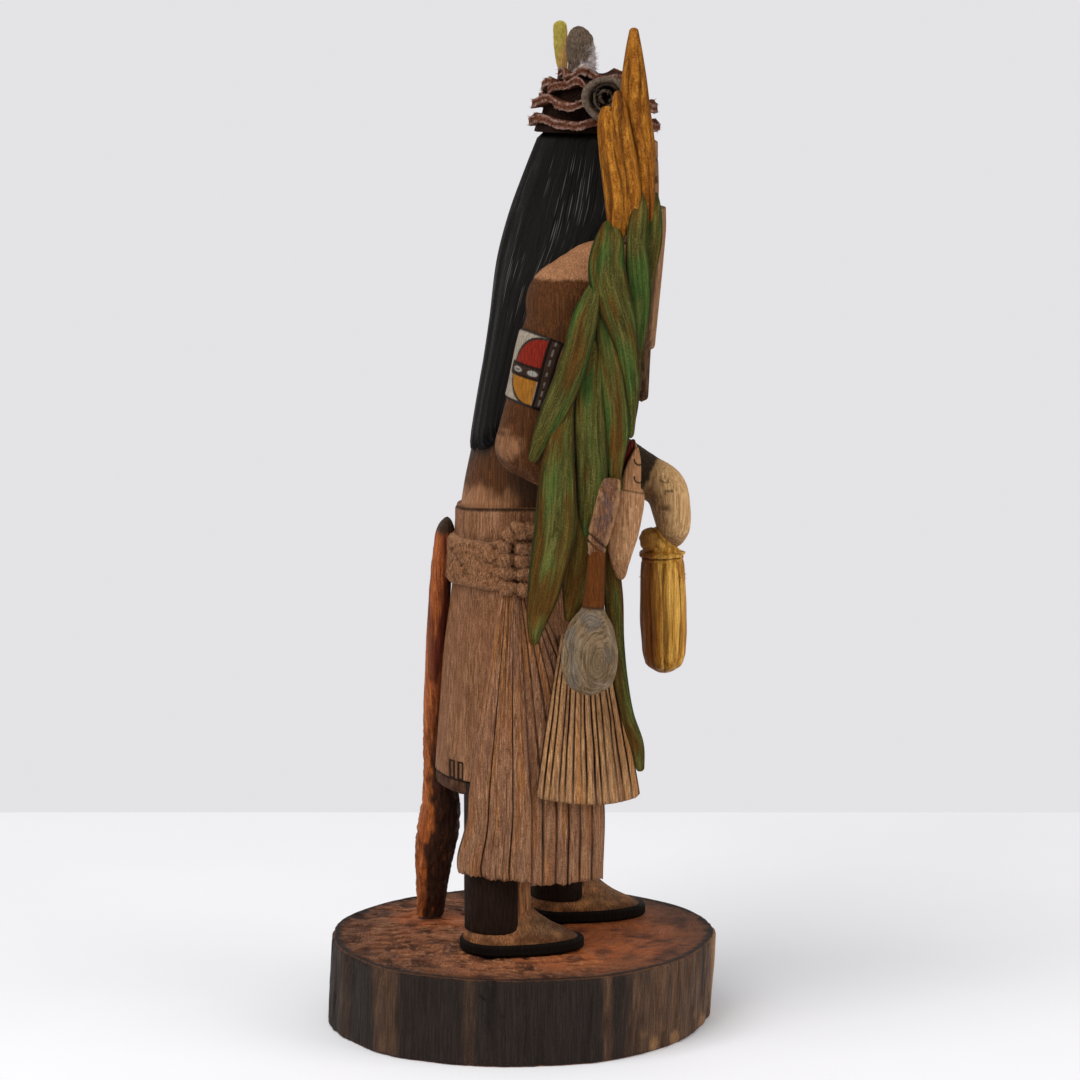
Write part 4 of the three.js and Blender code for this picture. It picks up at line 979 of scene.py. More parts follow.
def long_fringe_carving():
    """The long fringe: a broad back fall with soft grooves, and a narrower front fall with sharper cuts."""
    made = Carving()

    def crease(z):
        return -3.0 + np.clip(z - 70.5, 0, None) * 0.06

    deep_cuts, faint_cuts = [0.0, 0.3, 0.665, 1.0], [0.11, 0.2, 0.4, 0.48, 0.56, 0.78, 0.9]
    front_cuts = [0.0, 0.17, 0.33, 0.49, 0.65, 0.82, 1.0]

    def swung(u, z, seed):
        place = placed(u * 30, 0, z)
        return place, u + 0.014 * grain(place, (7, 26), seed) + 0.004 * grain(place, (2, 5), seed + 9)

    def back_grooves(u, z):
        place, at = swung(u, z, 81)
        fade = 0.35 + 0.65 * step(-0.4, 0.4, grain(place, (2.5, 22), 88))
        return cuts(at, deep_cuts, 0.026, 0.8), cuts(at, faint_cuts, 0.022) * fade, place

    def back_lift(u, z):
        deep, faint, place = back_grooves(u, z)
        rough = 0.5 + 1.2 * step(84, 56, z)
        return (
            -0.7 * deep - 0.3 * faint + 0.36 * grain(place, (2.2, 40), 82)
            + 0.22 * rough * grain(place, (0.55, 1.0), 83))

    def front_grooves(u, z):
        place, at = swung(u, z, 84)
        return cuts(at, front_cuts, 0.04, 0.8) * (0.7 + 0.3 * grain(place, (3, 9), 89)), place

    def front_lift(u, z):
        deep, place = front_grooves(u, z)
        return -0.8 * deep + 0.26 * grain(place, (2.0, 30), 85) + 0.16 * grain(place, (0.55, 1.0), 86)

    for low, start, end, proud, lift, columns in (
        (47.9, crease, lambda z: keyed(FRINGE_BACK, z), 3.5, back_lift, 250),
        (46.5, lambda z: keyed(FRINGE_FRONT, z), lambda z: crease(z) + 0.6, 2.2, front_lift, 170),
    ):
        rings, outer = fall_skin(low, start, end, proud, columns, lift)
        u, z = np.linspace(0, 1, columns)[None], outer[:, :1, 2]
        ragged = grain(outer * (1, 1, 0.0) + (0, 0, low), (0.8, 1), 87)
        both = np.concatenate([ragged, ragged[:, ::-1]], axis=1)
        rings[..., 2] += step(low + 3, low, rings[..., 2]) * (0.55 * both + 0.5 * grain(rings, (2.6, 9), 98))
        # The cut mark lays painted shade in the grooves.
        if lift is back_lift:
            deep, faint, place = back_grooves(u, z)
            drawn = unit(1.1 * deep + 0.35 * faint)
        else:
            deep, place = front_grooves(u, z)
            drawn = unit(1.25 * deep)
        orange = step(0.0, 0.6, grain(place, (2.0, 1, 16), 94)) * 0.7
        violet = step(0.1, 0.6, grain(place, (2.2, 1, 14), 95)) * 0.35
        foot = step(low + 40, low + 4, z) * 0.75 * step(-0.6, 0.4, grain(place, (1.4, 6), 96))
        made.add(rings, **front_marks(rings, columns, cut=drawn, pale=foot, orange=orange, violet=violet))
    return made


def fan_carving():
    """The short fringe that spreads like a fan over the long one, its strips parted by deep cuts."""
    columns, rows = 340, 130
    low, top = FAN["low"], FAN["top"]
    w = np.concatenate([[0.0, 0.004, 0.011, 0.02], np.linspace(0.03, 1, rows)])[:, None]
    u = np.linspace(0, 1, columns)[None]
    foot = keyed([(0, -0.9), (0.05, -1.7), (0.4, -1.7), (0.95, 1.0), (1, 1.9)], u)
    z = low + foot * (1 - w) ** 2 + (top - low) * w
    start = -33.8 + (-24.4 + 33.8) * w**1.1
    end = -4.2 + (-11.0 + 4.2) * w**1.15
    y = start + (end - start) * u
    strips = np.cumsum(np.concatenate([[0], 1 + 0.3 * np.sin(np.arange(14) * 2.4)]))
    strips /= strips[-1]
    place = placed(u * 40, 0, z)
    at = u + 0.012 * grain(place, (3, 9), 91)
    deep = cuts(at, strips, 0.026, 0.7)
    depth = (0.75 + 0.5 * grain(place, (2.6, 30, 30), 97)) * (0.55 + 0.45 * step(low + 1, low + 9, z))
    lift = -1.1 * deep * depth + 0.2 * grain(place, (1.1, 30), 92) + 0.08 * grain(place, (0.5, 2), 93)
    lift -= 0.8 * drawn_in(z - low - foot, 0.8)
    proud = 5.3 - 3.4 * step(0.55, 1.0, w)
    turn = np.clip((y - keyed(KILT["middle"], z)) / 37, -1, 1)
    outer_x = -(keyed(KILT["wide"], z) + proud + lift) * np.sqrt(1 - turn**2)
    outer = placed(outer_x, y, z)
    inner_x = np.minimum(np.minimum(kilt_side(y, z), -8) + 2.5, outer_x + 6.5)
    rings = np.concatenate([outer, placed(inner_x, y, z)[:, ::-1]], axis=1)

    edge = step(0.975, 1.0, u) * 0.8 + step(0.02, 0.0, u) * 0.4
    orange = step(0.1, 0.5, grain(place, (1.8, 1, 26), 99)) * 0.6
    violet = step(0.2, 0.55, grain(place, (1.4, 1, 20), 104)) * 0.5
    pale = 0.5 * step(0.1, 0.5, grain(place, (1.2, 1, 18), 100))
    # Painted shade in the cuts between the strips.
    cut = unit(deep * 1.7 * depth)
    return Carving().add(rings, **front_marks(
        rings, columns, cut=cut, pale=pale, shade=edge, orange=orange, violet=violet))


class ClothSettings(bpy.types.PropertyGroup):
    """Colours of the carved cloth"""

    kilt: FloatVectorProperty(
        name="Kilt", description="Colour of the kilt's rubbed wood", size=4, subtype="COLOR",
        default=linear("#9e7353"), min=0, max=1)
    kilt_stain: FloatVectorProperty(
        name="Kilt stain", description="Colour of the stain in the kilt's grain", size=4, subtype="COLOR",
        default=linear("#653c23"), min=0, max=1)


class KACHINA_OT_cloth(bpy.types.Operator):
    """Carves the kilt, the belt with its knot, and the fringes"""

    bl_idname = "kachina.cloth"
    bl_label = "Kilt, sash and fringes"

    def execute(self, context):
        colours = context.scene.kachina_cloth
        coats = {"shade": "#3a2210", "border": "#301b12", "pale": "#a87c5d"}
        streaked = {**coats, "orange": "#b0733f", "violet": "#7b5546"}
        # Knife-cut cottonwood sanded smooth, tea-coloured stain that shows its straight upright grain.
        smooth = stained_wood(
            "Sanded cottonwood, tea stain", colours.kilt, colours.kilt_stain, "#7d5238", streak="#4c2a16",
            streaks=0.45, fibres=(0.4, 16), washes=(2.2, 26), share=0.55, specks=0.36, speck="#b8917a",
            coats=coats)
        # Belt and knot are worked with a fine burr: the stain settles in crusty pits and leaves pale crumbs.
        crusty = stained_wood(
            "Burr-textured cottonwood", "#a87a58", "#5f381d", "#8e6040", streak="#4a2a17", streaks=0.4,
            fibres=(0.6, 1.1), washes=(2.6, 2.6), speck="#b99478", rough=0.7, depth=0.2, coats=coats)
        # The long fringe: purple-brown and orange-brown stains brushed over each other along gouged strips.
        strips = stained_wood(
            "Gouged cottonwood, mixed stain", "#c28f6a", "#70462d", "#9c6e54", streak="#4c2b1a",
            fibres=(0.45, 7), washes=(1.4, 20), share=0.55, speck="#dcb091", crumbs=0.42, rough=0.68,
            depth=0.26, coats=streaked)
        # The fan keeps a lighter tan stain on its strips, and painted shade darkens the cuts.
        tan = stained_wood(
            "Gouged cottonwood, tan stain", "#d8a878", "#946640", "#b98a5c", streak="#56341c", fibres=(0.4, 10),
            washes=(1.2, 16), specks=0.22, rough=0.66, depth=0.18, coats=streaked)
        piece("kilt", kilt_carving(), smooth)
        piece("waistband", waistband_carving(), smooth)
        piece("sash", sash_carving(), crusty)
        piece("sash_knots", knot_carving(), crusty)
        piece("long_fringe", long_fringe_carving(), strips)
        piece("short_fringe", fan_carving(), tan)
        return {"FINISHED"}


# --- legs, feet, mask and beard


def foot_skin(foot, z, heel, toe, half, lift=0.0):
    """Rings of a foot: heel and toe are Y from the foot's place, turned a little."""
    angle = around(220)
    x0, y0, turn = foot
    reach = np.where(np.sin(angle) > 0, (heel - ANKLE)[:, None], (ANKLE - toe)[:, None])
    x = np.cos(angle) * (half[:, None] + lift)
    y = ANKLE + np.sin(angle) * (reach + lift)
    c, s = math.cos(turn), math.sin(turn)
    return placed(x0 + x * c - y * s, y0 + y * c + x * s, z[:, None])


def foot_carving(foot):
    """One leg in its dark wrap, a tan moccasin with its instep strip, and a black sole."""
    made = Carving((3, 2))
    x0, y0, _ = foot
    t = np.linspace(0, 1, 26)
    z = FLOOR + 0.05 + t * (SOLE["height"] + 0.25)
    round_off = -0.5 * drawn_in(np.minimum(t, 1 - t), 0.2)[:, None]
    full = np.ones_like(z)
    sole = foot_skin(foot, z, SOLE["heel"] * full, SOLE["toe"] * full, SOLE["half"] * full, round_off)
    made.add(sole, sole=1.0)

    top = FLOOR + SOLE["height"]
    z = np.concatenate([np.linspace(top - 1, top + 1, 14), np.linspace(top + 1.2, 37.2, 60)])
    shape = keyed(MOCCASIN["heel"], z), keyed(MOCCASIN["instep"], z), keyed(MOCCASIN["half"], z)
    upper = foot_skin(foot, z, *shape)
    upper = foot_skin(foot, z, *shape, 0.12 * grain(upper, (3, 4, 3), 101) + 0.06 * grain(upper, 0.8, 105))
    height, ahead = upper[..., 2], upper[..., 1] - y0
    spots = grain(upper, (2.6, 3.4, 2.0), 102) + 0.4 * grain(upper, 0.7, 109)
    # Darker patches, more of them just above the sole.
    worn = step(-0.4, 1.2, spots + 0.9 * step(31.5, 28.5, height) - 0.2) * 0.85
    grey = step(-0.8, 0.9, spots + step(2, -8, ahead) - 0.5) * 0.7
    tan = step(-0.1, 0.9, grain(upper, (1.8, 4.0, 1.6), 106)) * 0.8
    made.add(upper, cut=step(28.6, 28.1, height) * 0.8, shade=worn, grey=grey, tan=tan)

    # The leg: the wrap covers all but a strip up the front and ends just above the moccasin's edge.
    angle = around(280)
    z = np.linspace(FLOOR + 3, 74, 170)
    wide, deep = 9.0, 9.0
    limit, low_edge = -0.58, 31.2
    wrap = step(low_edge - 0.3, low_edge, z[:, None]) * np.where(np.sin(angle)[None] < limit, 0.0, 1.0)
    seam = step(0.07, 0.0, np.abs(np.sin(angle)[None] - limit)) * step(low_edge, low_edge + 1, z[:, None])
    ring = np.stack([np.cos(angle) * wide, np.sin(angle) * deep], axis=-1)
    leg = placed(x0 + ring[:, 0], y0 + ANKLE + ring[:, 1], z[:, None])
    lift = (1.0 + 0.09 * grain(leg, (0.5, 14), 107)) * wrap - 0.25 * seam + 0.10 * grain(leg, (2.5, 9), 103)
    leg[..., :2] += ring * (lift / wide)[..., None]
    shade = 0.5 * step(42, 60, leg[..., 2]) * (1 - wrap)
    tan = step(0.0, 0.5, grain(leg, (0.9, 7), 108)) * 0.8 * (1 - wrap)
    made.add(leg, wrap=wrap, cut=seam, shade=shade, tan=tan)
    return made


def mask_carving():
    """The case mask: a smooth curved face with two narrow eye slots and a band across the brow."""
    angle = around(360)
    z = np.linspace(227, 255, 120)
    skin = wall(MASK, z, angle)
    x, y, height = np.moveaxis(skin, -1, 0)
    front = y < -26
    slots = np.zeros_like(x)
    for at in (-6.0, 6.0):
        slots = np.maximum(slots, step(0.25, -0.25, np.maximum(
            np.abs(x - at) - 3.0, np.abs(height - 244) - 0.9)))
    brow = step(0.4, 0.2, np.abs(height - 249.6)) + step(0.4, 0.2, np.abs(height - 238))
    side_line = step(0.4, 0.2, np.abs(np.abs(x) - 12.6))
    line = unit((slots + 0.8 * brow + 0.8 * side_line) * front)
    lift = 0.08 * grain(skin, (3, 9), 111) - 0.5 * slots * front - 0.15 * line
    skin = wall(MASK, z, angle, lift=lift, ends=0.8)
    return Carving().add(skin, cut=line, light=0.4 * front)


def board_skin(low, high, face, thick, half, depth, spacing, seed):
    """A thin board hung from the mask, combed lengthwise on its front, its lower corners rounded."""
    w = np.concatenate([[0, 0.004, 0.012], np.linspace(0.02, 1, 90)])[:, None]
    u = np.linspace(-1, 1, 220)[None]
    z = low + (high - low) * w
    round_corner = 1 - 0.3 * unit(1 - w * 5) ** 2
    x = u * half * round_corner
    comb = np.abs(np.sin(x / spacing * math.pi + 0.8 * grain(placed(x, 0, z), (3, 12), seed)))
    near = np.minimum((1 - np.abs(u)) * half, z - low)
    edge = 0.5 * thick * drawn_in(near, 0.9)
    middle = keyed(face, z) + (x / half) ** 2 * 1.6
    front = middle + edge + depth * (1 - comb**0.7)
    back = middle + thick - edge
    outer, inner = placed(x, front, z), placed(x, back, z)[:, ::-1]
    cut = np.zeros((len(w), 440))
    # Painted shade in the comb grooves on the front.
    cut[:, :220] = unit(1.1 - comb * 1.5)
    return np.concatenate([outer, inner], axis=1), cut


def beard_carvings():
    """The beard's combed board, and the shorter pale one laid over it."""
    rings, cut = board_skin(181.5, 234, [(181.5, -36.2), (196, -36.9), (234, -39)], 2.7, 13.0, 0.3, 1.1, 121)
    pits = step(-0.1, 0.5, grain(rings, (0.8, 1.2), 125)) * 0.85
    long = Carving().add(rings, cut=np.maximum(cut * 0.8, pits), shade=0.3)
    rings, cut = board_skin(196, 236, [(196, -38), (229, -41), (236, -41)], 2.6, 11.5, 0.35, 1.6, 122)
    ragged = grain(rings, (0.8, 1.4), 123)
    behind = step(-37.6, -36.6, rings[..., 1] - (rings[..., 2] - 216) * -0.06 + 0.5 * ragged)
    short = Carving().add(rings, cut=np.maximum(cut * 0.6, behind * 0.9 * step(-0.5, 0.2, ragged)), light=0.7)
    return long, short


class KACHINA_OT_feet(bpy.types.Operator):
    """Carves the legs, their wraps and the moccasins"""

    bl_idname = "kachina.feet"
    bl_label = "Legs and moccasins"

    def execute(self, context):
        # Cottonwood rubbed with tan stain; the wraps are nearly black brown and the soles black.
        finish = stained_wood(
            "Cottonwood moccasin, tan and black stain", "#a5714a", "#613a23", "#87593b", streaks=0.3,
            fibres=(0.5, 5), washes=(2.4, 5), share=0.6, specks=0.12, crumbs=0.22, rough=0.55, depth=0.09,
            coats={
                "tan": "#b87e4a", "grey": "#63503b", "shade": "#58341e", "wrap": "#23150d", "sole": "#110a06"},
            bare=0.1)
        for foot, name in ((RIGHT_FOOT, "right_foot"), (LEFT_FOOT, "left_foot")):
            piece(name, foot_carving(foot), finish)
        return {"FINISHED"}


class KACHINA_OT_mask(bpy.types.Operator):
    """Carves the mask and the beard hung from it"""

    bl_idname = "kachina.mask"
    bl_label = "Mask and beard"

    def execute(self, context):
        # Cottonwood with a warm brown stain, combed with a fine gouge on the beard.
        finish = stained_wood(
            "Combed cottonwood, warm brown stain", "#7d583c", "#4a2d1b", "#664430", streaks=0.45,
            fibres=(0.4, 7), washes=(2, 10), share=0.6, specks=0.3, crumbs=0.24, rough=0.64,
            coats={"shade": "#4a3c24", "light": "#a47a58"})
        piece("mask", mask_carving(), finish)
        long, short = beard_carvings()
        piece("beard", long, finish)
        piece("beard_overlay", short, finish)
        return {"FINISHED"}


# --- fox pelt


def pelt_carving():
    """The fox pelt: a long hanging strip, chipped all over, with a dark inner face towards its foot."""
    t, angle = np.linspace(0, 1, 300), around(180)
    crown = rounded(t, 0.036, 0.0)
    wide, deep = keyed(PELT_WIDE, t) * crown, keyed(PELT_DEEP, t) * crown
    skin = limb(PELT, (1, 0, 0), t, angle, wide, deep, square=0.85)
    turn = np.cos(angle - 0.72 * math.pi)[None]
    low = step(0.36, 0.56, t)[:, None]
    chips = grain(skin, (1.9, 1.2, 3.4), 131) + 0.5 * grain(skin, (1.0, 0.7, 1.8), 135)
    ridge = unit(1 - np.abs(chips) * 1.6)
    lift = 0.16 * grain(skin, (1.3, 0.9, 14), 132) - 0.5 * (1 - ridge) * (0.25 + 0.9 * low)
    lift = lift - 0.5 * unit(turn) * low
    skin = limb(PELT, (1, 0, 0), t, angle, wide, deep, lift=lift * rounded(t, 0.02, 0.01)[:, None], square=0.85)
    ragged = grain(skin, (1.2, 4), 133)
    # The inner face towards the foot is dark: partly stain, partly painted shadow from the kilt and the legs.
    inner = step(0.12, 0.5, turn + 0.3 * ragged) * low * step(1.3, 0.4, chips) * 0.95
    tan = step(0.55, 0.9, -turn + 0.3 * ragged) * step(0.1, 0.3, t)[:, None] * 0.7
    bright = step(0.0, 0.5, grain(skin, (1.1, 16), 136)) * 0.7
    # Higher up: dark patches, and painted shade on the same side.
    dark = unit(
        step(0.0, 0.45, grain(skin, (1.5, 12), 134)) * (1 - low) * 0.65
        + step(0.25, 0.7, turn) * (1 - low) * 0.4)
    strap = step(0.06, 0.035, t)[:, None] * np.ones_like(inner)
    # Painted shade in the chip hollows, more towards the foot.
    cut = np.clip(step(0.0, -0.8, chips) * (0.15 + 0.45 * low), 0, 0.6)
    return Carving().add(skin, cut=cut, inner=inner, tan=tan, dark=dark, bright=bright, strap=strap)


class KACHINA_OT_pelt(bpy.types.Operator):
    """Carves the fox pelt that hangs behind"""

    bl_idname = "kachina.pelt"
    bl_label = "Fox pelt"

    def execute(self, context):
        # Cottonwood chipped like fur, orange-brown stain over it; the inside is dark, partly burnt brown and
        # partly painted shadow.
        finish = stained_wood(
            "Chip-carved cottonwood, fox-red stain", "#c06c34", "#763615", "#a05022", line="#2a1108",
            streak="#3a160a", streaks=0.45, fibres=(0.6, 7), washes=(2, 9), share=0.6, specks=0.3,
            speck="#d0925c", rough=0.5, depth=0.16,
            coats={
                "bright": "#c06a2e", "tan": "#a8764c", "dark": "#5a2313", "inner": "#2c160d", "strap": "#3b2a1c"
            },
            bare=0.06, sheen=0.14)
        piece("fox_pelt_carved", pelt_carving(), finish, "fox_pelt")
        return {"FINISHED"}


# --- what the hands hold


def blade_skin(points, thick, seed, flutes, fluting, rows=150, columns=84):
    """A leaf or spike: a flat blade through (x, y, z, half-width) points, round-ended, with uneven flutes."""
    path = [point[:3] for point in points]
    t, angle = (1 - np.cos(np.linspace(0, math.pi, rows))) / 2, around(columns)
    length = np.linalg.norm(np.diff(np.array(path), axis=0), axis=1).sum()
    closing = rounded(t, max(points[0][3], 0.5) * 1.2 / length, max(points[-1][3], 0.5) * 1.2 / length)
    across = keyed([(i / (len(points) - 1), point[3]) for i, point in enumerate(points)], t) * closing
    out = thick * unit(across / (thick * 1.3))
    aside = np.cos(angle)[None] * across[:, None]
    fibre = placed(aside + 40 * seed, np.sin(angle)[None] * out[:, None], t[:, None] * length)
    sway = 0.55 * grain(fibre, (2.2, 3, 16), 141)
    ridge = np.cos(TURN * (aside / flutes + sway + seed * 0.37))
    edge = step(0.55, 0.97, np.abs(np.cos(angle)))[None]
    scrape = grain(fibre, (0.5, 0.8, 12), 142)
    lift = (fluting * ridge + 0.5 * fluting * scrape + 0.05 * grain(fibre, (0.5, 1.5), 145)) * (1 - edge)
    lift = lift * unit(out / thick)[:, None]
    skin = limb(path, (0, 1, 0), t, angle, across, out, lift=lift, square=0.7)
    # Where the flutes dip, for painted shade.
    valley_shade = step(-0.35, -0.95, ridge + 0.35 * scrape) * (1 - edge)
    return skin, fibre, valley_shade, edge


def corn_carvings():
    """The corn leaves, and the tassel's spikes above them."""
    leaves, spikes = Carving(), Carving()
    for i, (browned, points) in enumerate(LEAVES):
        skin, fibre, valley_shade, edge = blade_skin(points, 1.3, i + 1, 3.4, 0.08)
        patchy = grain(fibre, (1.5, 9, 16), 143) + 0.5 * grain(fibre, (0.6, 9, 8), 146)
        brown = step(0.35, 0.75, patchy + browned) * 0.85
        fresh = step(-0.2, 0.5, grain(fibre, (1.9, 9, 11), 144)) * 0.85 * (1 - brown)
        lit = step(0.1, 0.6, grain(fibre, (0.6, 9, 9), 147)) * 0.4
        # Painted shade along the leaf's edges and in its flute valleys.
        edge_shade = step(0.25, 1.0, edge) * 0.75
        made = unit(valley_shade * 0.3 + edge_shade * 0.9)
        leaves.add(skin, fibre=fibre, cut=made, brown=brown, fresh=fresh, lit=lit)
    for i, points in enumerate(SPIKES):
        skin, fibre, valley_shade, edge = blade_skin(points, 2.5, i + 11, 2.6, 0.3, 170, 96)
        # Painted shade in the flutes and along the spike's edges.
        groove = unit(valley_shade * step(-0.3, 0.3, grain(fibre, (1.5, 3, 9), 148)) + 0.5 * step(0.3, 1.0, edge))
        brown = step(0.1, 0.6, grain(fibre, (0.8, 9, 7), 149)) * 0.6
        spikes.add(skin, fibre=fibre, cut=groove * 0.85, brown=brown)
    return leaves, spikes


def rattle_carving():
    """The gourd rattle: a drop-shaped bulb with oval ring grain, on a plain handle."""
    t, angle = np.linspace(0, 1, 260), around(150)
    radius = keyed(GOURD_RADIUS, t)
    radius = radius * rounded(t, 0.01, 0.02)
    skin = limb(GOURD, (1, 0, 0), t, angle, radius * 0.9, radius)
    x, y, z = np.moveaxis(skin, -1, 0)
    rings = np.hypot(y + 21.9, (z - 113.6) / 1.6) + 0.8 * grain(skin, (3, 5), 154)
    bulb = step(0.385, 0.41, t)[:, None] * np.ones_like(x)
    wave = np.sin(rings / 0.8 * TURN)
    broken = step(-0.3, 0.5, grain(skin, (1.6, 2.6), 155))
    lift = bulb * (
        0.03 * wave * broken + 0.10 * grain(skin, 3, 151)) + (1 - bulb) * 0.14 * grain(skin, (1.2, 9), 152)
    skin = limb(GOURD, (1, 0, 0), t, angle, radius * 0.9, radius, lift=lift)
    turned = placed(rings, 0.35 * x, np.arctan2((z - 114.6) / 1.5, y + 21.9) * np.maximum(rings, 2))
    fibre = turned * bulb[..., None] + skin * (1 - bulb[..., None])
    hue = step(0.05, 0.5, grain(skin, (2.4, 5), 153)) * bulb
    light = step(0.1, 0.5, grain(skin, (1.6, 6), 156)) * bulb
    joint = step(0.014, 0.0, np.abs(t - 0.395))[:, None] * 0.6
    scored = 0.45 * (1 - bulb) * step(0.1, 0.6, grain(skin, (0.5, 8), 157))
    drawn = bulb * 0.15 * step(0.35, 0.95, wave) * broken * step(1.0, 2.4, rings)
    return Carving().add(
        skin, fibre=fibre, cut=unit(joint + drawn + scored), handle=1 - bulb, blue=hue * 0.6, light=light * 0.5)


def hand_carving():
    """The right hand: a long mitten of wood closed round the handle, its end chipped by slanting cuts."""
    t, angle = np.linspace(0, 1, 140), around(100)
    closing = rounded(t, 0.025, 0.03)
    across = keyed([(0, 2.2), (0.3, 3.0), (0.7, 3.4), (1, 2.8)], t) * closing
    out = keyed([(0, 2.3), (0.15, 2.9), (0.45, 3.3), (0.75, 2.9), (1, 2.4)], t) * closing
    skin = limb(RIGHT_FIST, (1, 0, 0), t, angle, across, out, square=0.6)
    y, z = skin[..., 1], skin[..., 2]
    slant = np.maximum(
        step(0.5, 0.15, np.abs(z - 146.6 - 0.8 * (y + 21))), step(0.45, 0.1, np.abs(z - 144.2 - 0.8 * (y + 21)))
    )
    lift = 0.25 * grain(skin, (2.2, 3.0), 161) + 0.14 * grain(skin, (0.7, 1.0), 162) - 0.5 * slant
    skin = limb(RIGHT_FIST, (1, 0, 0), t, angle, across, out, lift=lift * closing[:, None], square=0.6)
    ragged = grain(skin, (1.0, 1.6), 163)
    # Painted highlight along the hand's two long edges.
    edge = step(0.35, 0.85, np.abs(np.sin(angle))[None] + 0.35 * ragged) * 0.9
    violet = step(-0.2, 0.4, ragged + 0.1) * (1 - edge) * 0.9
    return Carving().add(skin, cut=unit(slant * 0.85), light=unit(edge), violet=violet)


def flat_doll_carving():
    """The small flat doll: a shield of a body under a slanting face with two strokes, and a red hood."""
    skins = []
    face = [
        (-33.6, -31.9, 171.9, 0.6), (-33.6, -31.7, 170, 1.3), (-33.6, -31.2, 167.5, 2.1),
        (-33.6, -30.6, 164.2, 2.7), (-33.6, -30.3, 160.8, 3.0), (-33.6, -30.3, 157.4, 2.9)]
    hood = [
        (-32, -31.2, 173.9, 0.5), (-32, -30.9, 171.7, 1.4), (-32, -30.5, 169.4, 2.2), (-32, -30.1, 166.6, 2.6),
        (-32, -29.6, 163, 2.7), (-32, -29.6, 158, 2.6)]
    for points, thick in ((FLAT_DOLL, 2.7), (face, 1.7), (hood, 1.5)):
        skins.append(blade_skin(points, thick, 21, 4, 0.0, 80, 60)[0])
    points, normals, faces = fused(skins, 0.28, 2)
    points = points + normals * (
        0.07 * grain(points, (0.7, 7), 171) + 0.1 * grain(points, (3, 4), 172))[:, None]
    x, y, z = points.T
    ragged = grain(points, (0.8, 1.0), 173)
    t = (172 - z) / 12
    left = keyed([(0, -31.5), (0.17, -30.4), (0.37, -29.2), (0.65, -28), (0.93, -27.3)], t)
    chin_line = z - 159.3 - 0.2 * (y + 32)
    near, head = x < -32.2, step(-0.2, 0.4, chin_line)
    red = head * step(-0.15, 0.15, y - left + 0.15 * ragged)
    outline = head * step(0.5, 0.2, np.abs(y - left)) * near
    strokes = np.zeros(len(points))
    for at in (168.4, 163.4):
        bow = np.abs(np.hypot(y + 32.9, z - at) - 1.5) - 0.12
        strokes = np.maximum(strokes, step(0.22, 0.0, bow) * (y > -33.6) * (z < at + 0.3) * near)
    chin = 0.6 * step(0.5, 0.1, np.abs(chin_line)) * near
    chip = step(1.1, 0.5, np.hypot(y + 30.4, z - 138.0) + 0.3 * ragged)
    cut = unit(strokes + 0.9 * outline + chin + 0.5 * chip)
    lean = points - normals * (0.14 * cut)[:, None]
    return fused_carving(
        lean, faces, fibre=points, cut=cut, face=head * 0.8, red=red,
        light=step(0.1, 0.7, ragged) * 0.35 * (1 - head), shade=step(141, 136, z) * 0.5)


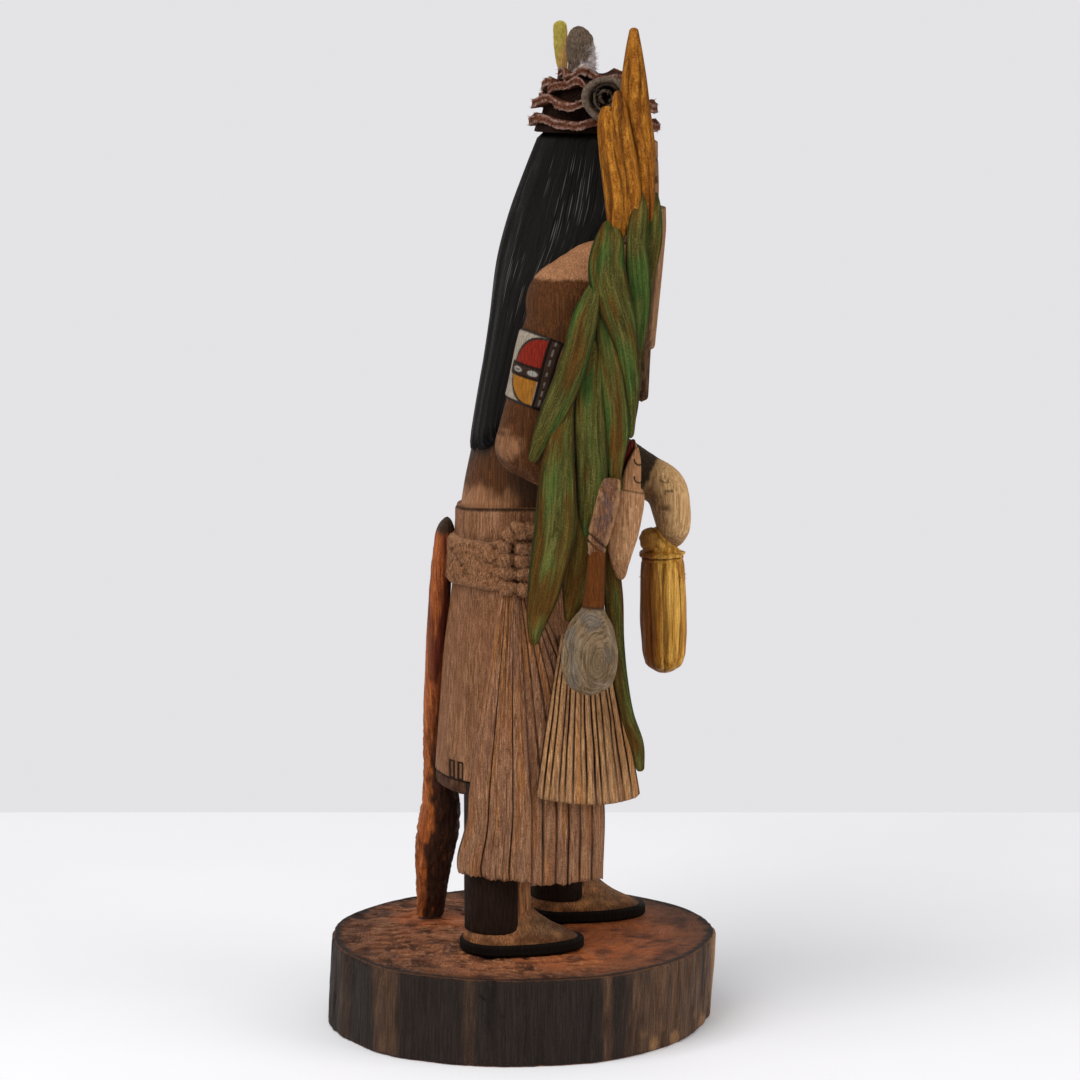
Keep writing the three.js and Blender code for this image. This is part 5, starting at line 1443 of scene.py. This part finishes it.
def pouch_carving():
    """The yellow pouch: a knob and a twisted neck, a ragged collar and a ribbed sack."""
    t, angle = np.linspace(0, 1, 320), around(240)
    radius = keyed(POUCH_RADIUS, t) * rounded(t, 0.02, 0.05)
    skin = limb(POUCH, (1, 0, 0), t, angle, radius, radius)
    sack = step(0.345, 0.385, t)[:, None]
    neck = step(0.25, 0.2, t)[:, None]
    collar = (1 - sack) * (1 - neck)
    wave = angle[None] + 0.22 * grain(skin, (7, 20), 181)
    ribs = np.abs(np.cos(wave * 4.5 + 0.35)) ** 0.8
    twist = np.abs(np.sin(angle[None] * 3 + t[:, None] * 26))
    ragged = grain(skin, (0.8, 0.7), 182)
    fold = step(0.02, 0.0, np.abs(t - 0.318))[:, None]
    fine = grain(skin, (0.5, 10), 183)
    lift = (
        sack * (0.6 * ribs - 0.5 + 0.16 * fine + 0.2 * grain(skin, (2.4, 9), 186)) + neck * (0.5 * twist - 0.2)
        + collar * (0.4 * ragged + 0.3 * np.sin(angle * 9)[None]) - 0.5 * fold)
    skin = limb(POUCH, (1, 0, 0), t, angle, radius, radius, lift=lift * rounded(t, 0.02, 0.05)[:, None])
    foot = step(0.93, 1.0, t)[:, None]
    # Painted light: bright patches on the side away from the doll's body, and painted shade on the side
    # towards its body and along its front edge.
    behind = step(0.15, -0.75, np.sin(angle)[None] + 0.35 * grain(skin, (1.2, 16), 187)) * (1 - neck)
    edge = step(0.88, 0.98, np.sin(angle)[None] + 0.1 * fine) * sack
    # The cut mark is painted shade in the rib valleys, the twists of the neck and the fold under the collar; it
    # also darkens the foot of the sack.
    cut = (
        sack * step(0.35, 0.0, ribs + 0.3 * fine) * 0.75 + neck * unit(0.5 - twist) * 0.8 + fold * 0.8
        + foot * 0.3)
    bright = step(-0.4, 0.35, grain(skin, (0.9, 14), 184)) * (1 - behind)
    made = Carving().add(skin, cut=unit(cut), brown=unit(behind + 0.8 * edge), worn=unit(bright))
    centre = np.array((20.6, -37.4, 137.4))
    knob = egg(centre, (2.6, 2.8, 3.6), 60, 60)
    coil = np.abs(np.sin(knob[..., 2] * 1.5 + 0.4 * knob[..., 1]))
    knob = knob + (knob - centre) * (0.07 * coil + 0.09 * grain(knob, 1.4, 185))[..., None]
    # Painted shade in the knob's coil grooves.
    made.add(knob, cut=unit(0.5 - coil) * 0.7, knob=0.75, worn=0.3)
    generator = np.random.default_rng(5)
    # Loose threads at the collar, each a fine closed quill.
    for _ in range(34):
        turn = generator.uniform(0, TURN)
        start = np.array([
            23 + 6.1 * math.cos(turn), -41.6 + 6.1 * math.sin(turn), 126.9 + generator.uniform(-0.6, 0.4)])
        tip = start + np.array([math.cos(turn), math.sin(turn), -0.4]) * generator.uniform(0.5, 1.3)
        tip = tip + generator.uniform(-0.4, 0.4, 3)
        made.add(quill(start, (start + tip) / 2, tip, (0.3, 0.2, 1), 0.13, 4), cut=0.2, worn=0.3)
    return made


class KACHINA_OT_corn(bpy.types.Operator):
    """Carves the corn stalk's leaves and tassel"""

    bl_idname = "kachina.corn"
    bl_label = "Corn stalk"

    def execute(self, context):
        # Knife-carved leaves with a green wash dragged lengthwise over brown wood.
        leaf = stained_wood(
            "Knife-cut leaf, green wash", "#625f2f", "#383614", "#52491b", line="#100f06", streak="#2a270c",
            streaks=0.5, fibres=(0.35, 8), washes=(1.4, 12), share=0.6, specks=0.38, speck="#8f8443",
            crumbs=0.38, coats={"brown": "#5e3c12", "fresh": "#3b5724", "lit": "#6d6c35"}, bare=0.14)
        # Tassel spikes with an ochre wash, the knife flutes darkened with painted shade.
        tassel = stained_wood(
            "Fluted tassel, ochre wash", "#c4842f", "#83490d", "#a8691f", line="#47220a", streak="#542a0a",
            streaks=0.5, fibres=(0.5, 3.5), washes=(1.5, 9), speck="#d6a25a", depth=0.18,
            coats={"brown": "#7a4214"}, bare=0.12)
        leaves, spikes = corn_carvings()
        piece("corn_leaves", leaves, leaf, "corn_stalk")
        piece("corn_tassel", spikes, tassel, "corn_stalk")
        return {"FINISHED"}


class KACHINA_OT_held(bpy.types.Operator):
    """Carves the rattle and the hand round it, the flat doll and the yellow pouch"""

    bl_idname = "kachina.held"
    bl_label = "Things held"

    def execute(self, context):
        # Grey-washed wood whose growth rings show as ovals; the handle keeps a red-brown stain.
        rattle = stained_wood(
            "Grey-washed ring-grain wood", "#8f775c", "#55432c", "#73604a", line="#352a1e", streak="#3d3226",
            fibres=(0.32, 5), washes=(1.4, 7), specks=0.25, speck="#aa9b86", crumbs=0.24, rough=0.66,
            coats={"light": "#94836c", "blue": "#65605a", "handle": "#673814"}, bare=0.08)
        # The hand is stained purple-brown, with a painted highlight on its edges.
        hand = stained_wood(
            "Cottonwood, purple-brown stain, painted edge highlight", "#8a6043", "#4e2f1f", "#6f4c38", streaks=0.4,
            fibres=(0.6, 3), washes=(1.6, 4), share=0.6, specks=0.3, crumbs=0.24, rough=0.62, depth=0.14,
            coats={"violet": "#644c44", "light": "#a67c59"})
        # Pale cottonwood, hardly stained, its drawing brushed on in black.
        doll = stained_wood(
            "Pale cottonwood, thin tan stain", "#c0946c", "#885d3b", "#a87852", streak="#5c3a22", streaks=0.3,
            fibres=(0.45, 6), washes=(2, 8), specks=0.2, crumbs=0.18, depth=0.1,
            coats={"light": "#cea685", "shade": "#7d5536", "face": "#a37551", "red": "#6b2317"})
        # Yellow ochre over ribbed wood; its bright coat is painted light on the sack and a paler ochre on the
        # knob and threads.
        ochre = stained_wood(
            "Ribbed wood, yellow ochre", "#d4982f", "#955c10", "#b87c1d", line="#40220a", streak="#5a330c",
            streaks=0.4, fibres=(0.4, 9), washes=(1.2, 12), specks=0.2, speck="#e2b662", crumbs=0.24, rough=0.5,
            depth=0.1, coats={"worn": "#e6b052", "brown": "#94591c", "knob": "#80531f"}, sheen=0.2)
        piece("rattle", rattle_carving(), rattle, "gourd_rattle")
        piece("right_hand", hand_carving(), hand)
        piece("flat_doll_carved", flat_doll_carving(), doll, "flat_doll")
        piece("pouch", pouch_carving(), ochre, "yellow_pouch")
        return {"FINISHED"}


# --- the headdress


def tilted(points):
    """Points of the wreath, from its own frame to the model's."""
    c, s = math.cos(WREATH_TILT), math.sin(WREATH_TILT)
    x, y, z = np.moveaxis(points, -1, 0)
    return placed(x, y * c - z * s, y * s + z * c) + np.array(WREATH_CENTRE)


def ruffle_skin(z0, inner, outer, ruffle, waves, seed):
    """One ruffled layer: a sheet that waves more towards its thick rim, whose edge is split in two."""
    angle = around(640)
    thick = 2.5
    lip = np.linspace(-math.pi / 2, math.pi / 2, 21)
    groove = 0.30 * np.exp(-((lip / 0.34) ** 2))
    share = np.concatenate([
        np.linspace(0, 0.92, 26), 0.93 + 0.07 * np.cos(lip) - 0.07 * groove, np.linspace(0.92, 0, 26)])
    level = np.concatenate([np.full(26, -0.5), 0.5 * np.sin(lip), np.full(26, 0.5)]) * thick
    place = placed(np.cos(angle) * 12, np.sin(angle) * 12, z0)
    wander = grain(place, 7, seed)
    phase = waves * angle + seed * 1.9 + 1.8 * wander
    wave = np.sin(phase) * ruffle * (1 + 0.6 * grain(place, 5, seed + 1))
    reach = outer - 0.4 + 0.9 * np.cos(phase + 0.9) + 0.7 * grain(place, 2.5, seed + 2)
    radius = inner + (reach - inner)[None] * share[:, None]
    bend = share[:, None] ** 1.4
    z = z0 + wave[None] * bend + level[:, None] * (0.6 + 0.4 * bend)
    skin = placed(np.cos(angle) * radius, np.sin(angle) * radius, z)
    crust = 0.36 * grain(skin, (0.8, 0.7), seed + 3) + 0.20 * grain(skin, 0.4, seed + 4)
    rim = step(0.84, 0.93, share)[:, None]
    skin[..., 0] += np.cos(angle) * crust * rim
    skin[..., 1] += np.sin(angle) * crust * rim
    skin[..., 2] += crust * (0.25 + 0.5 * rim) * np.sign(level + 1e-9)[:, None]
    lips = np.zeros(len(share))
    lips[26:47] = np.exp(-(((np.abs(lip) - 0.85) / 0.33) ** 2))
    pale = unit(lips[:, None] * (0.75 + 1.3 * grain(skin, 0.7, seed + 5)))
    split = np.zeros(len(share))
    split[26:47] = np.exp(-((lip / 0.3) ** 2))
    # Painted shade on the sheet inside the rim, between the layers, and in the rim's split.
    dark = unit(step(0.9, 0.6, share)[:, None] + 0.35 * split[:, None]) + 0 * z
    return tilted(skin), pale, unit(dark)


def wreath_carving():
    """Four ruffled layers round a dark core, their rims frayed to fine hairs."""
    made = Carving((2, 3))
    generator = np.random.default_rng(21)
    for z0, inner, outer, ruffle, waves, seed in (
        (2.6, 7.0, 18.4, 0.8, 7, 201), (7.9, 7.0, 17.4, 1.1, 7, 211), (12.4, 6.5, 15.2, 1.5, 6, 221),
        (15.6, 4.0, 11.2, 1.2, 5, 231),
    ):
        skin, pale, dark = ruffle_skin(z0, inner, outer, ruffle, waves, seed)
        made.add(skin, cut=dark * 0.85, crust=pale)
        middle = np.array(WREATH_CENTRE) + (0, 0, z0)
        for _ in range(220):
            root = skin[generator.choice((30, 43)), generator.integers(skin.shape[1])]
            away = (root - middle) * (1, 1, 0)
            tip = root + away / np.linalg.norm(away) * generator.uniform(0.25, 0.7) + generator.uniform(
                -0.5, 0.5, 3)
            bow = (root + tip) / 2 + generator.uniform(-0.2, 0.2, 3)
            made.add(quill(root, bow, tip, (0.2, 0.3, 1), 0.09, 4), crust=0.9)
    angle = around(160)
    z = np.linspace(0.2, 15.8, 50)[:, None]
    radius = keyed([(0, 17.0), (3, 15.2), (10, 13.2), (14, 10.2), (15.8, 5)], z)
    core = placed(np.cos(angle) * radius, np.sin(angle) * radius, z)
    core[..., :2] *= 1 + 0.03 * grain(core, 2, 241)[..., None]
    core = tilted(core)
    core[0, :, 2] = 257.45
    # The core is nearly black: painted shade between the layers.
    made.add(core, cut=0.97)
    return made


def blossom_carving():
    """The squash blossom: a thick-rimmed cup on its side, a rolled strip inside, a few stray fibres."""
    made = Carving()
    centre = BLOSSOM["centre"]
    length = BLOSSOM["root"] - BLOSSOM["mouth"]
    radius = BLOSSOM["radius"]

    def sideways(r, angle, h):
        return placed(BLOSSOM["root"] - h, centre[0] + r * np.cos(angle), centre[1] + r * np.sin(angle))

    angle = around(180)
    lip = np.linspace(0, math.pi, 14)
    thick = 0.95
    outline = [(0.3, 0.05), (1.6, 0.1), (2.6, 0.6), (3.4, 1.8), (4.2, 3.6), (5.2, 5.8), (5.7, 7.4)]
    outline += [(radius - thick + thick * math.cos(a), length - thick + thick * math.sin(a)) for a in lip]
    outline += [
        (4.6, length - 2), (4.2, length - 3.6), (3.0, length - 4.6), (1.2, length - 5), (0.2, length - 5.1)]
    r, h = (np.array(part)[:, None] for part in zip(*outline))
    r = r * (1 + 0.05 * np.sin(3 * angle + 0.7) * step(3, 6, r))
    cup = sideways(r, angle, h)
    crust = grain(cup, 0.9, 251) + 0.5 * grain(cup, 0.4, 253)
    r = r + 0.14 * crust * step(2, 5, r)
    rim = step(length - 2.4, length - 0.8, h) * step(4.4, 5.2, r)
    # Painted shade inside the cup, below its rim.
    inside = (np.arange(len(outline)) > 17)[:, None]
    hollow_shade = step(length - 0.8, length - 2.2, h) * inside
    made.add(sideways(r, angle, h + 0.12 * crust), cut=hollow_shade * 0.8, crust=unit(rim * (0.6 + 0.35 * crust)))
    # The rolled strip, a spiral wall standing in the cup.
    t = np.linspace(0, 1, 150)
    turn = 2.5 - t * TURN * 1.6
    reach = 4.1 - 2.8 * t + 0.35 * np.sin(t * 19)
    path_y, path_z = centre[0] + reach * np.cos(turn), centre[1] + reach * np.sin(turn)
    section = around(18)
    level = BLOSSOM["mouth"] + 2.5 + 0.4 * np.sin(t * 13) + 1.0 * t
    x = level[:, None] + np.cos(section)[None] * 1.9
    spread = np.sin(section)[None] * 0.5 * rounded(t, 0.03, 0.06)[:, None]
    y = path_y[:, None] + np.cos(turn)[:, None] * spread
    z = path_z[:, None] + np.sin(turn)[:, None] * spread
    strip = placed(x, y, z)
    lumps = grain(strip, 0.8, 252)
    strip = strip + 0.2 * lumps[..., None] + 0.12 * grain(strip, 0.35, 254)[..., None]
    # Painted shade on the strip's side deep in the cup and in the dips between its lumps, painted light on its
    # side towards the mouth and on the lumps.
    made.add(
        strip, cut=unit(0.45 * step(-0.3, 0.5, np.cos(section))[None] + 0.4 * step(0.1, -0.5, lumps)),
        crust=step(0.0, -0.8, np.cos(section))[None] * unit(0.5 + lumps))
    generator = np.random.default_rng(9)
    for _ in range(60):
        a, b = generator.uniform(0, TURN), generator.uniform(1.0, 5.8)
        root = np.array([BLOSSOM["mouth"] + 0.9, centre[0] + b * math.cos(a), centre[1] + b * math.sin(a)])
        tip = root + np.array([-0.5, *generator.uniform(-1.3, 1.3, 2)])
        bow = (root + tip) / 2 + generator.uniform(-0.3, 0.3, 3)
        made.add(quill(root, bow, tip, (1, 0.2, 0.1), 0.09), crust=0.9)
    return made


def green_feather_carving():
    """The small green feather: a blunt flat vane with slanting barbs on a fine shaft."""
    t, angle = np.linspace(0, 1, 200), around(70)
    half = keyed([(0, 0.25), (0.2, 0.4), (0.4, 0.75), (0.6, 0.95), (0.85, 0.98), (1, 0.85)], t)
    across, out = 2.05 * half * rounded(t, 0.0, 0.075), 0.6 * half * rounded(t, 0.0, 0.04)
    skin = limb(GREEN_FEATHER, (0, 1, 0), t, angle, across, out)
    aside = np.cos(angle)[None] * across[:, None]
    barbs = np.sin((t[:, None] * 20 - np.abs(aside) * 0.9) / 0.42 * TURN)
    shaft = np.exp(-((aside / 0.25) ** 2))
    lift = 0.05 * barbs * (1 - shaft) + 0.12 * shaft + 0.08 * grain(skin, (0.5, 0.9), 255)
    skin = limb(GREEN_FEATHER, (0, 1, 0), t, angle, across, out, lift=lift * rounded(t, 0.0, 0.04)[:, None])
    front = -np.cos(angle)[None]
    low = step(0.8, 0.45, t[:, None] - 0.25 * front)
    # The cut mark is painted shade in the barb grooves.
    return Carving().add(
        skin, cut=unit(-barbs * 0.2) * (1 - shaft), tan=unit(low) * 0.9,
        brown=step(0.35, 0.1, t)[:, None] * 0.5 + 0 * aside)


def down_carving():
    """The down feather: a soft dark head and a skirt of hundreds of fine pale barbs."""
    made = Carving()
    t, angle = np.linspace(0, 1, 130), around(90)
    half = keyed([(0, 0.6), (0.25, 0.95), (0.6, 1), (0.8, 0.96), (1, 0.8)], t) * rounded(t, 0.0, 0.24)
    skin = limb(DOWN_FEATHER, (0, 1, 0), t, angle, 4.0 * half, 1.9 * half)
    fluff = 0.28 * grain(skin, 1.1, 261) + 0.18 * grain(skin, (0.35, 0.8), 262)
    skin = limb(
        DOWN_FEATHER, (0, 1, 0), t, angle, 4.0 * half, 1.9 * half, lift=fluff * np.clip(half, 0.2, 1)[:, None])
    front = -np.cos(angle)[None]
    soft = grain(skin, 1.2, 263)
    pale = step(-0.08, 0.12, 0.44 + 0.28 * front - t[:, None] + 0.12 * soft)
    rose = step(0.42, 0.1, t[:, None] + 0.15 * soft) * step(0.5, -0.4, front) * 0.75
    # The cut mark is painted shade in the dips of the fluff.
    made.add(skin, cut=np.clip(-fluff, 0, 0.3), pale=pale, rose=rose)
    generator = np.random.default_rng(3)
    middle, _ = course(DOWN_FEATHER, np.linspace(0, 1, 50))
    for _ in range(900):
        at = generator.uniform(0.02, 0.9)
        toward = generator.uniform(0, TURN)
        ahead = math.cos(toward) < 0.0
        skirt = at < 0.72 and ahead
        size = 4.0 * float(keyed([(0, 0.6), (0.25, 0.95), (0.6, 1), (0.85, 0.8), (1, 0.3)], at))
        out_dir = np.array([0.5 * math.sin(toward), math.cos(toward), 0.0])
        root = middle[int(at * 49)] + out_dir * size * 0.72
        length = generator.uniform(1.0, 2.5) if skirt else generator.uniform(0.4, 0.8)
        droop = generator.uniform(-0.2, 0.7) if skirt else 0.4
        tip = root + (out_dir / np.linalg.norm(out_dir) + np.array([0, 0, droop])) * length
        tip = tip + generator.uniform(-0.3, 0.3, 3)
        bow = (root + tip) / 2 + generator.uniform(-0.2, 0.2, 3)
        light = generator.uniform(0.2, 1.0) if skirt else 0.1
        made.add(quill(root, bow, tip, (1, 0.2, 0.3), 0.1), pale=light)
    return made


class KACHINA_OT_headdress(bpy.types.Operator):
    """Makes the ruffled wreath, the blossom at its side and the two feathers"""

    bl_idname = "kachina.headdress"
    bl_label = "Headdress"

    def execute(self, context):
        # Rough-edged dyed hide, brown-red and matte, with a pale crusty rim where the cut edge is frayed.
        hide = stained_wood(
            "Frayed dyed hide", "#8c5238", "#3a1a0f", "#683822", line="#0b0604", streaks=0.4, fibres=(0.6, 0.6),
            washes=(1.6, 1.6), share=0.6, speck="#9a7466", crumbs=0.28, rough=0.85, depth=0.24,
            coats={"crust": "#b9988c"}, bare=0.12, sheen=0.1)
        # The blossom is the same hide undyed: grey-brown and dry.
        blossom = stained_wood(
            "Dry grey-brown hide", "#715c4a", "#3b2c20", "#574535", line="#0b0907", streaks=0.3,
            fibres=(0.6, 0.9), specks=0.35, speck="#948476", crumbs=0.26, rough=0.85, depth=0.18,
            coats={"crust": "#786a5e"}, bare=0.1, sheen=0.1)
        # Dyed quill feather: yellow-green vane, tan towards the quill.
        vane = stained_wood(
            "Dyed feather vane", "#bdaa52", "#8c8136", "#a89a46", line="#4e4a1e", streaks=0.15,
            fibres=(0.3, 1.4), washes=(1.5, 4), specks=0.1, crumbs=0.14, rough=0.7, depth=0.06,
            coats={"tan": "#bf9156", "brown": "#7b5a2c"}, bare=0.05, sheen=0.1)
        # Natural down: brown-grey head, lilac-white barbs, rosy near the quill.
        down = stained_wood(
            "Natural down", "#78675a", "#463a2f", "#5f5042", line="#29221c", streaks=0.25, specks=0.2,
            speck="#8d8379", crumbs=0.18, rough=0.95, depth=0.1, coats={"pale": "#cbbfbf", "rose": "#a8776a"},
            bare=0.08, sheen=0.05)
        piece("wreath", wreath_carving(), hide, "headdress_wreath")
        piece("blossom", blossom_carving(), blossom, "squash_blossom")
        piece("green_plume", green_feather_carving(), vane, "green_feather")
        piece("down_plume", down_carving(), down, "down_feather")
        return {"FINISHED"}


# --- stage

LENS = 117.3  # focal length on a 36 mm wide sensor
CAMERA_PLACE = (-1.0, -0.0053, 0.2931)  # a metre off the doll's right side
CAMERA_DOWN = 8.67  # degrees below level
LAMP_AIM = (0, 0, 0.14)

class StageSettings(bpy.types.PropertyGroup):
    """The table, the background and the lamps"""

    table: FloatProperty(name="Table", description="Half the table's width", default=0.26, unit="LENGTH")
    cloth: FloatVectorProperty(
        name="Cloth", description="Colour of the table", size=4, subtype="COLOR", default=linear("#f1f3fa"),
        min=0, max=1)
    backdrop: FloatVectorProperty(
        name="Backdrop", description="Colour behind the table", size=4, subtype="COLOR",
        default=linear("#e4e3e6"), min=0, max=1)
    key: FloatProperty(
        name="Key lamp", description="Power of the large soft lamp, in watts", default=12.0, min=0)
    fill: FloatProperty(name="Fill lamp", description="Power of the fill lamp, in watts", default=4.5, min=0)
    room: FloatProperty(
        name="Room light", description="Strength of the light from all round", default=0.55, min=0)


class KACHINA_OT_stage(bpy.types.Operator):
    """Sets the camera, a plain pale table, the backdrop and the soft lamps"""

    bl_idname = "kachina.stage"
    bl_label = "Stage"

    def execute(self, context):
        scene, size = context.scene, context.scene.kachina_stage
        lens = bpy.data.cameras.new("camera")
        lens.lens, lens.sensor_width, lens.clip_start = LENS, 36.0, 0.05
        camera = bpy.data.objects.new("camera", lens)
        camera.location = CAMERA_PLACE
        camera.rotation_euler = (math.radians(90 - CAMERA_DOWN), 0, math.radians(-90))
        scene.collection.objects.link(camera)
        scene.camera = camera

        # White cotton cloth over a table, pressed flat: matte, with a faint uneven weave.
        cloth = bpy.data.materials.new("White cotton cloth")
        tree = emptied(cloth)
        place = node(tree, "ShaderNodeTexCoord", {}, {}, "Object")
        folds = node(tree, "ShaderNodeTexNoise", {}, {"Vector": place, "Scale": 14.0, "Detail": 2.0})
        tone = node(tree, "ShaderNodeMapRange", {}, {"Value": folds, "To Min": 0.96, "To Max": 1.0})
        colour = node(tree, "ShaderNodeVectorMath", {"operation": "SCALE"}, {0: size.cloth[:3], "Scale": tone})
        normal = node(tree, "ShaderNodeBump", {}, {"Strength": 0.3, "Distance": 0.4 * MM, "Height": folds})
        surface = node(tree, "ShaderNodeBsdfPrincipled", {}, {
            "Base Color": colour, "Roughness": 0.95, "Normal": normal, "Specular IOR Level": 0.1})
        node(tree, "ShaderNodeOutputMaterial", {}, {"Surface": surface})
        half = size.table
        flat = bpy.data.meshes.new("table")
        corners = [
            (-half * 6, -half * 6, 0), (half, -half * 6, 0), (half, half * 6, 0), (-half * 6, half * 6, 0)]
        flat.from_pydata(corners, [], [(0, 1, 2, 3)])
        flat.materials.append(cloth)
        table = bpy.data.objects.new("table", flat)
        scene.collection.objects.link(table)

        world = bpy.data.worlds.new("room")
        scene.world = world
        tree = emptied(world)
        seen = node(tree, "ShaderNodeLightPath", {}, {}, "Is Camera Ray")
        lit = node(tree, "ShaderNodeBackground", {}, {"Color": (1.0, 0.98, 0.95, 1), "Strength": size.room})
        shown = node(tree, "ShaderNodeBackground", {}, {"Color": tuple(size.backdrop), "Strength": 1.0})
        both = node(tree, "ShaderNodeMixShader", {}, {0: seen, 1: lit, 2: shown})
        node(tree, "ShaderNodeOutputWorld", {}, {"Surface": both})
        scene.view_settings.view_transform = "Standard"

        for name, place, power, width in (
            ("key", (-0.55, 0.55, 1.15), size.key, 0.9), ("fill", (-0.4, -1.0, 0.6), size.fill, 0.8)
        ):
            lamp = bpy.data.lights.new(name, "AREA")
            lamp.energy, lamp.size, lamp.color = power, width, (1.0, 0.97, 0.92)
            shown = bpy.data.objects.new(name, lamp)
            shown.location = place
            shown.rotation_euler = (Vector(place) - Vector(LAMP_AIM)).to_track_quat("Z", "Y").to_euler()
            scene.collection.objects.link(shown)
        return {"FINISHED"}


OPERATORS = (
    KACHINA_OT_stage, KACHINA_OT_log, KACHINA_OT_hair, KACHINA_OT_body, KACHINA_OT_cloth, KACHINA_OT_feet,
    KACHINA_OT_mask, KACHINA_OT_pelt, KACHINA_OT_corn, KACHINA_OT_held, KACHINA_OT_headdress
)
SETTINGS = {
    "kachina_log": LogSettings, "kachina_body": BodySettings, "kachina_cloth": ClothSettings,
    "kachina_stage": StageSettings
}


class KACHINA_PT_doll(bpy.types.Panel):
    """Lists the doll's pieces and their settings"""

    bl_idname = "KACHINA_PT_doll"
    bl_label = "Kachina Doll"
    bl_space_type = "VIEW_3D"
    bl_region_type = "UI"
    bl_category = "Doll"

    def draw(self, context):
        for operator in OPERATORS:
            self.layout.operator(operator.bl_idname)
        for name, group in SETTINGS.items():
            box = self.layout.box()
            settings = getattr(context.scene, name)
            for key in group.__annotations__:
                box.prop(settings, key)


def register():
    for group in (*SETTINGS.values(), *OPERATORS, KACHINA_PT_doll):
        bpy.utils.register_class(group)
    for name, group in SETTINGS.items():
        setattr(bpy.types.Scene, name, PointerProperty(type=group))


def unregister():
    for name in SETTINGS:
        delattr(bpy.types.Scene, name)
    for group in reversed((*SETTINGS.values(), *OPERATORS, KACHINA_PT_doll)):
        bpy.utils.unregister_class(group)


def main():
    register()
    for operator in OPERATORS:
        getattr(bpy.ops.kachina, operator.bl_idname.split(".")[1])()


if __name__ == "__main__":
    main()
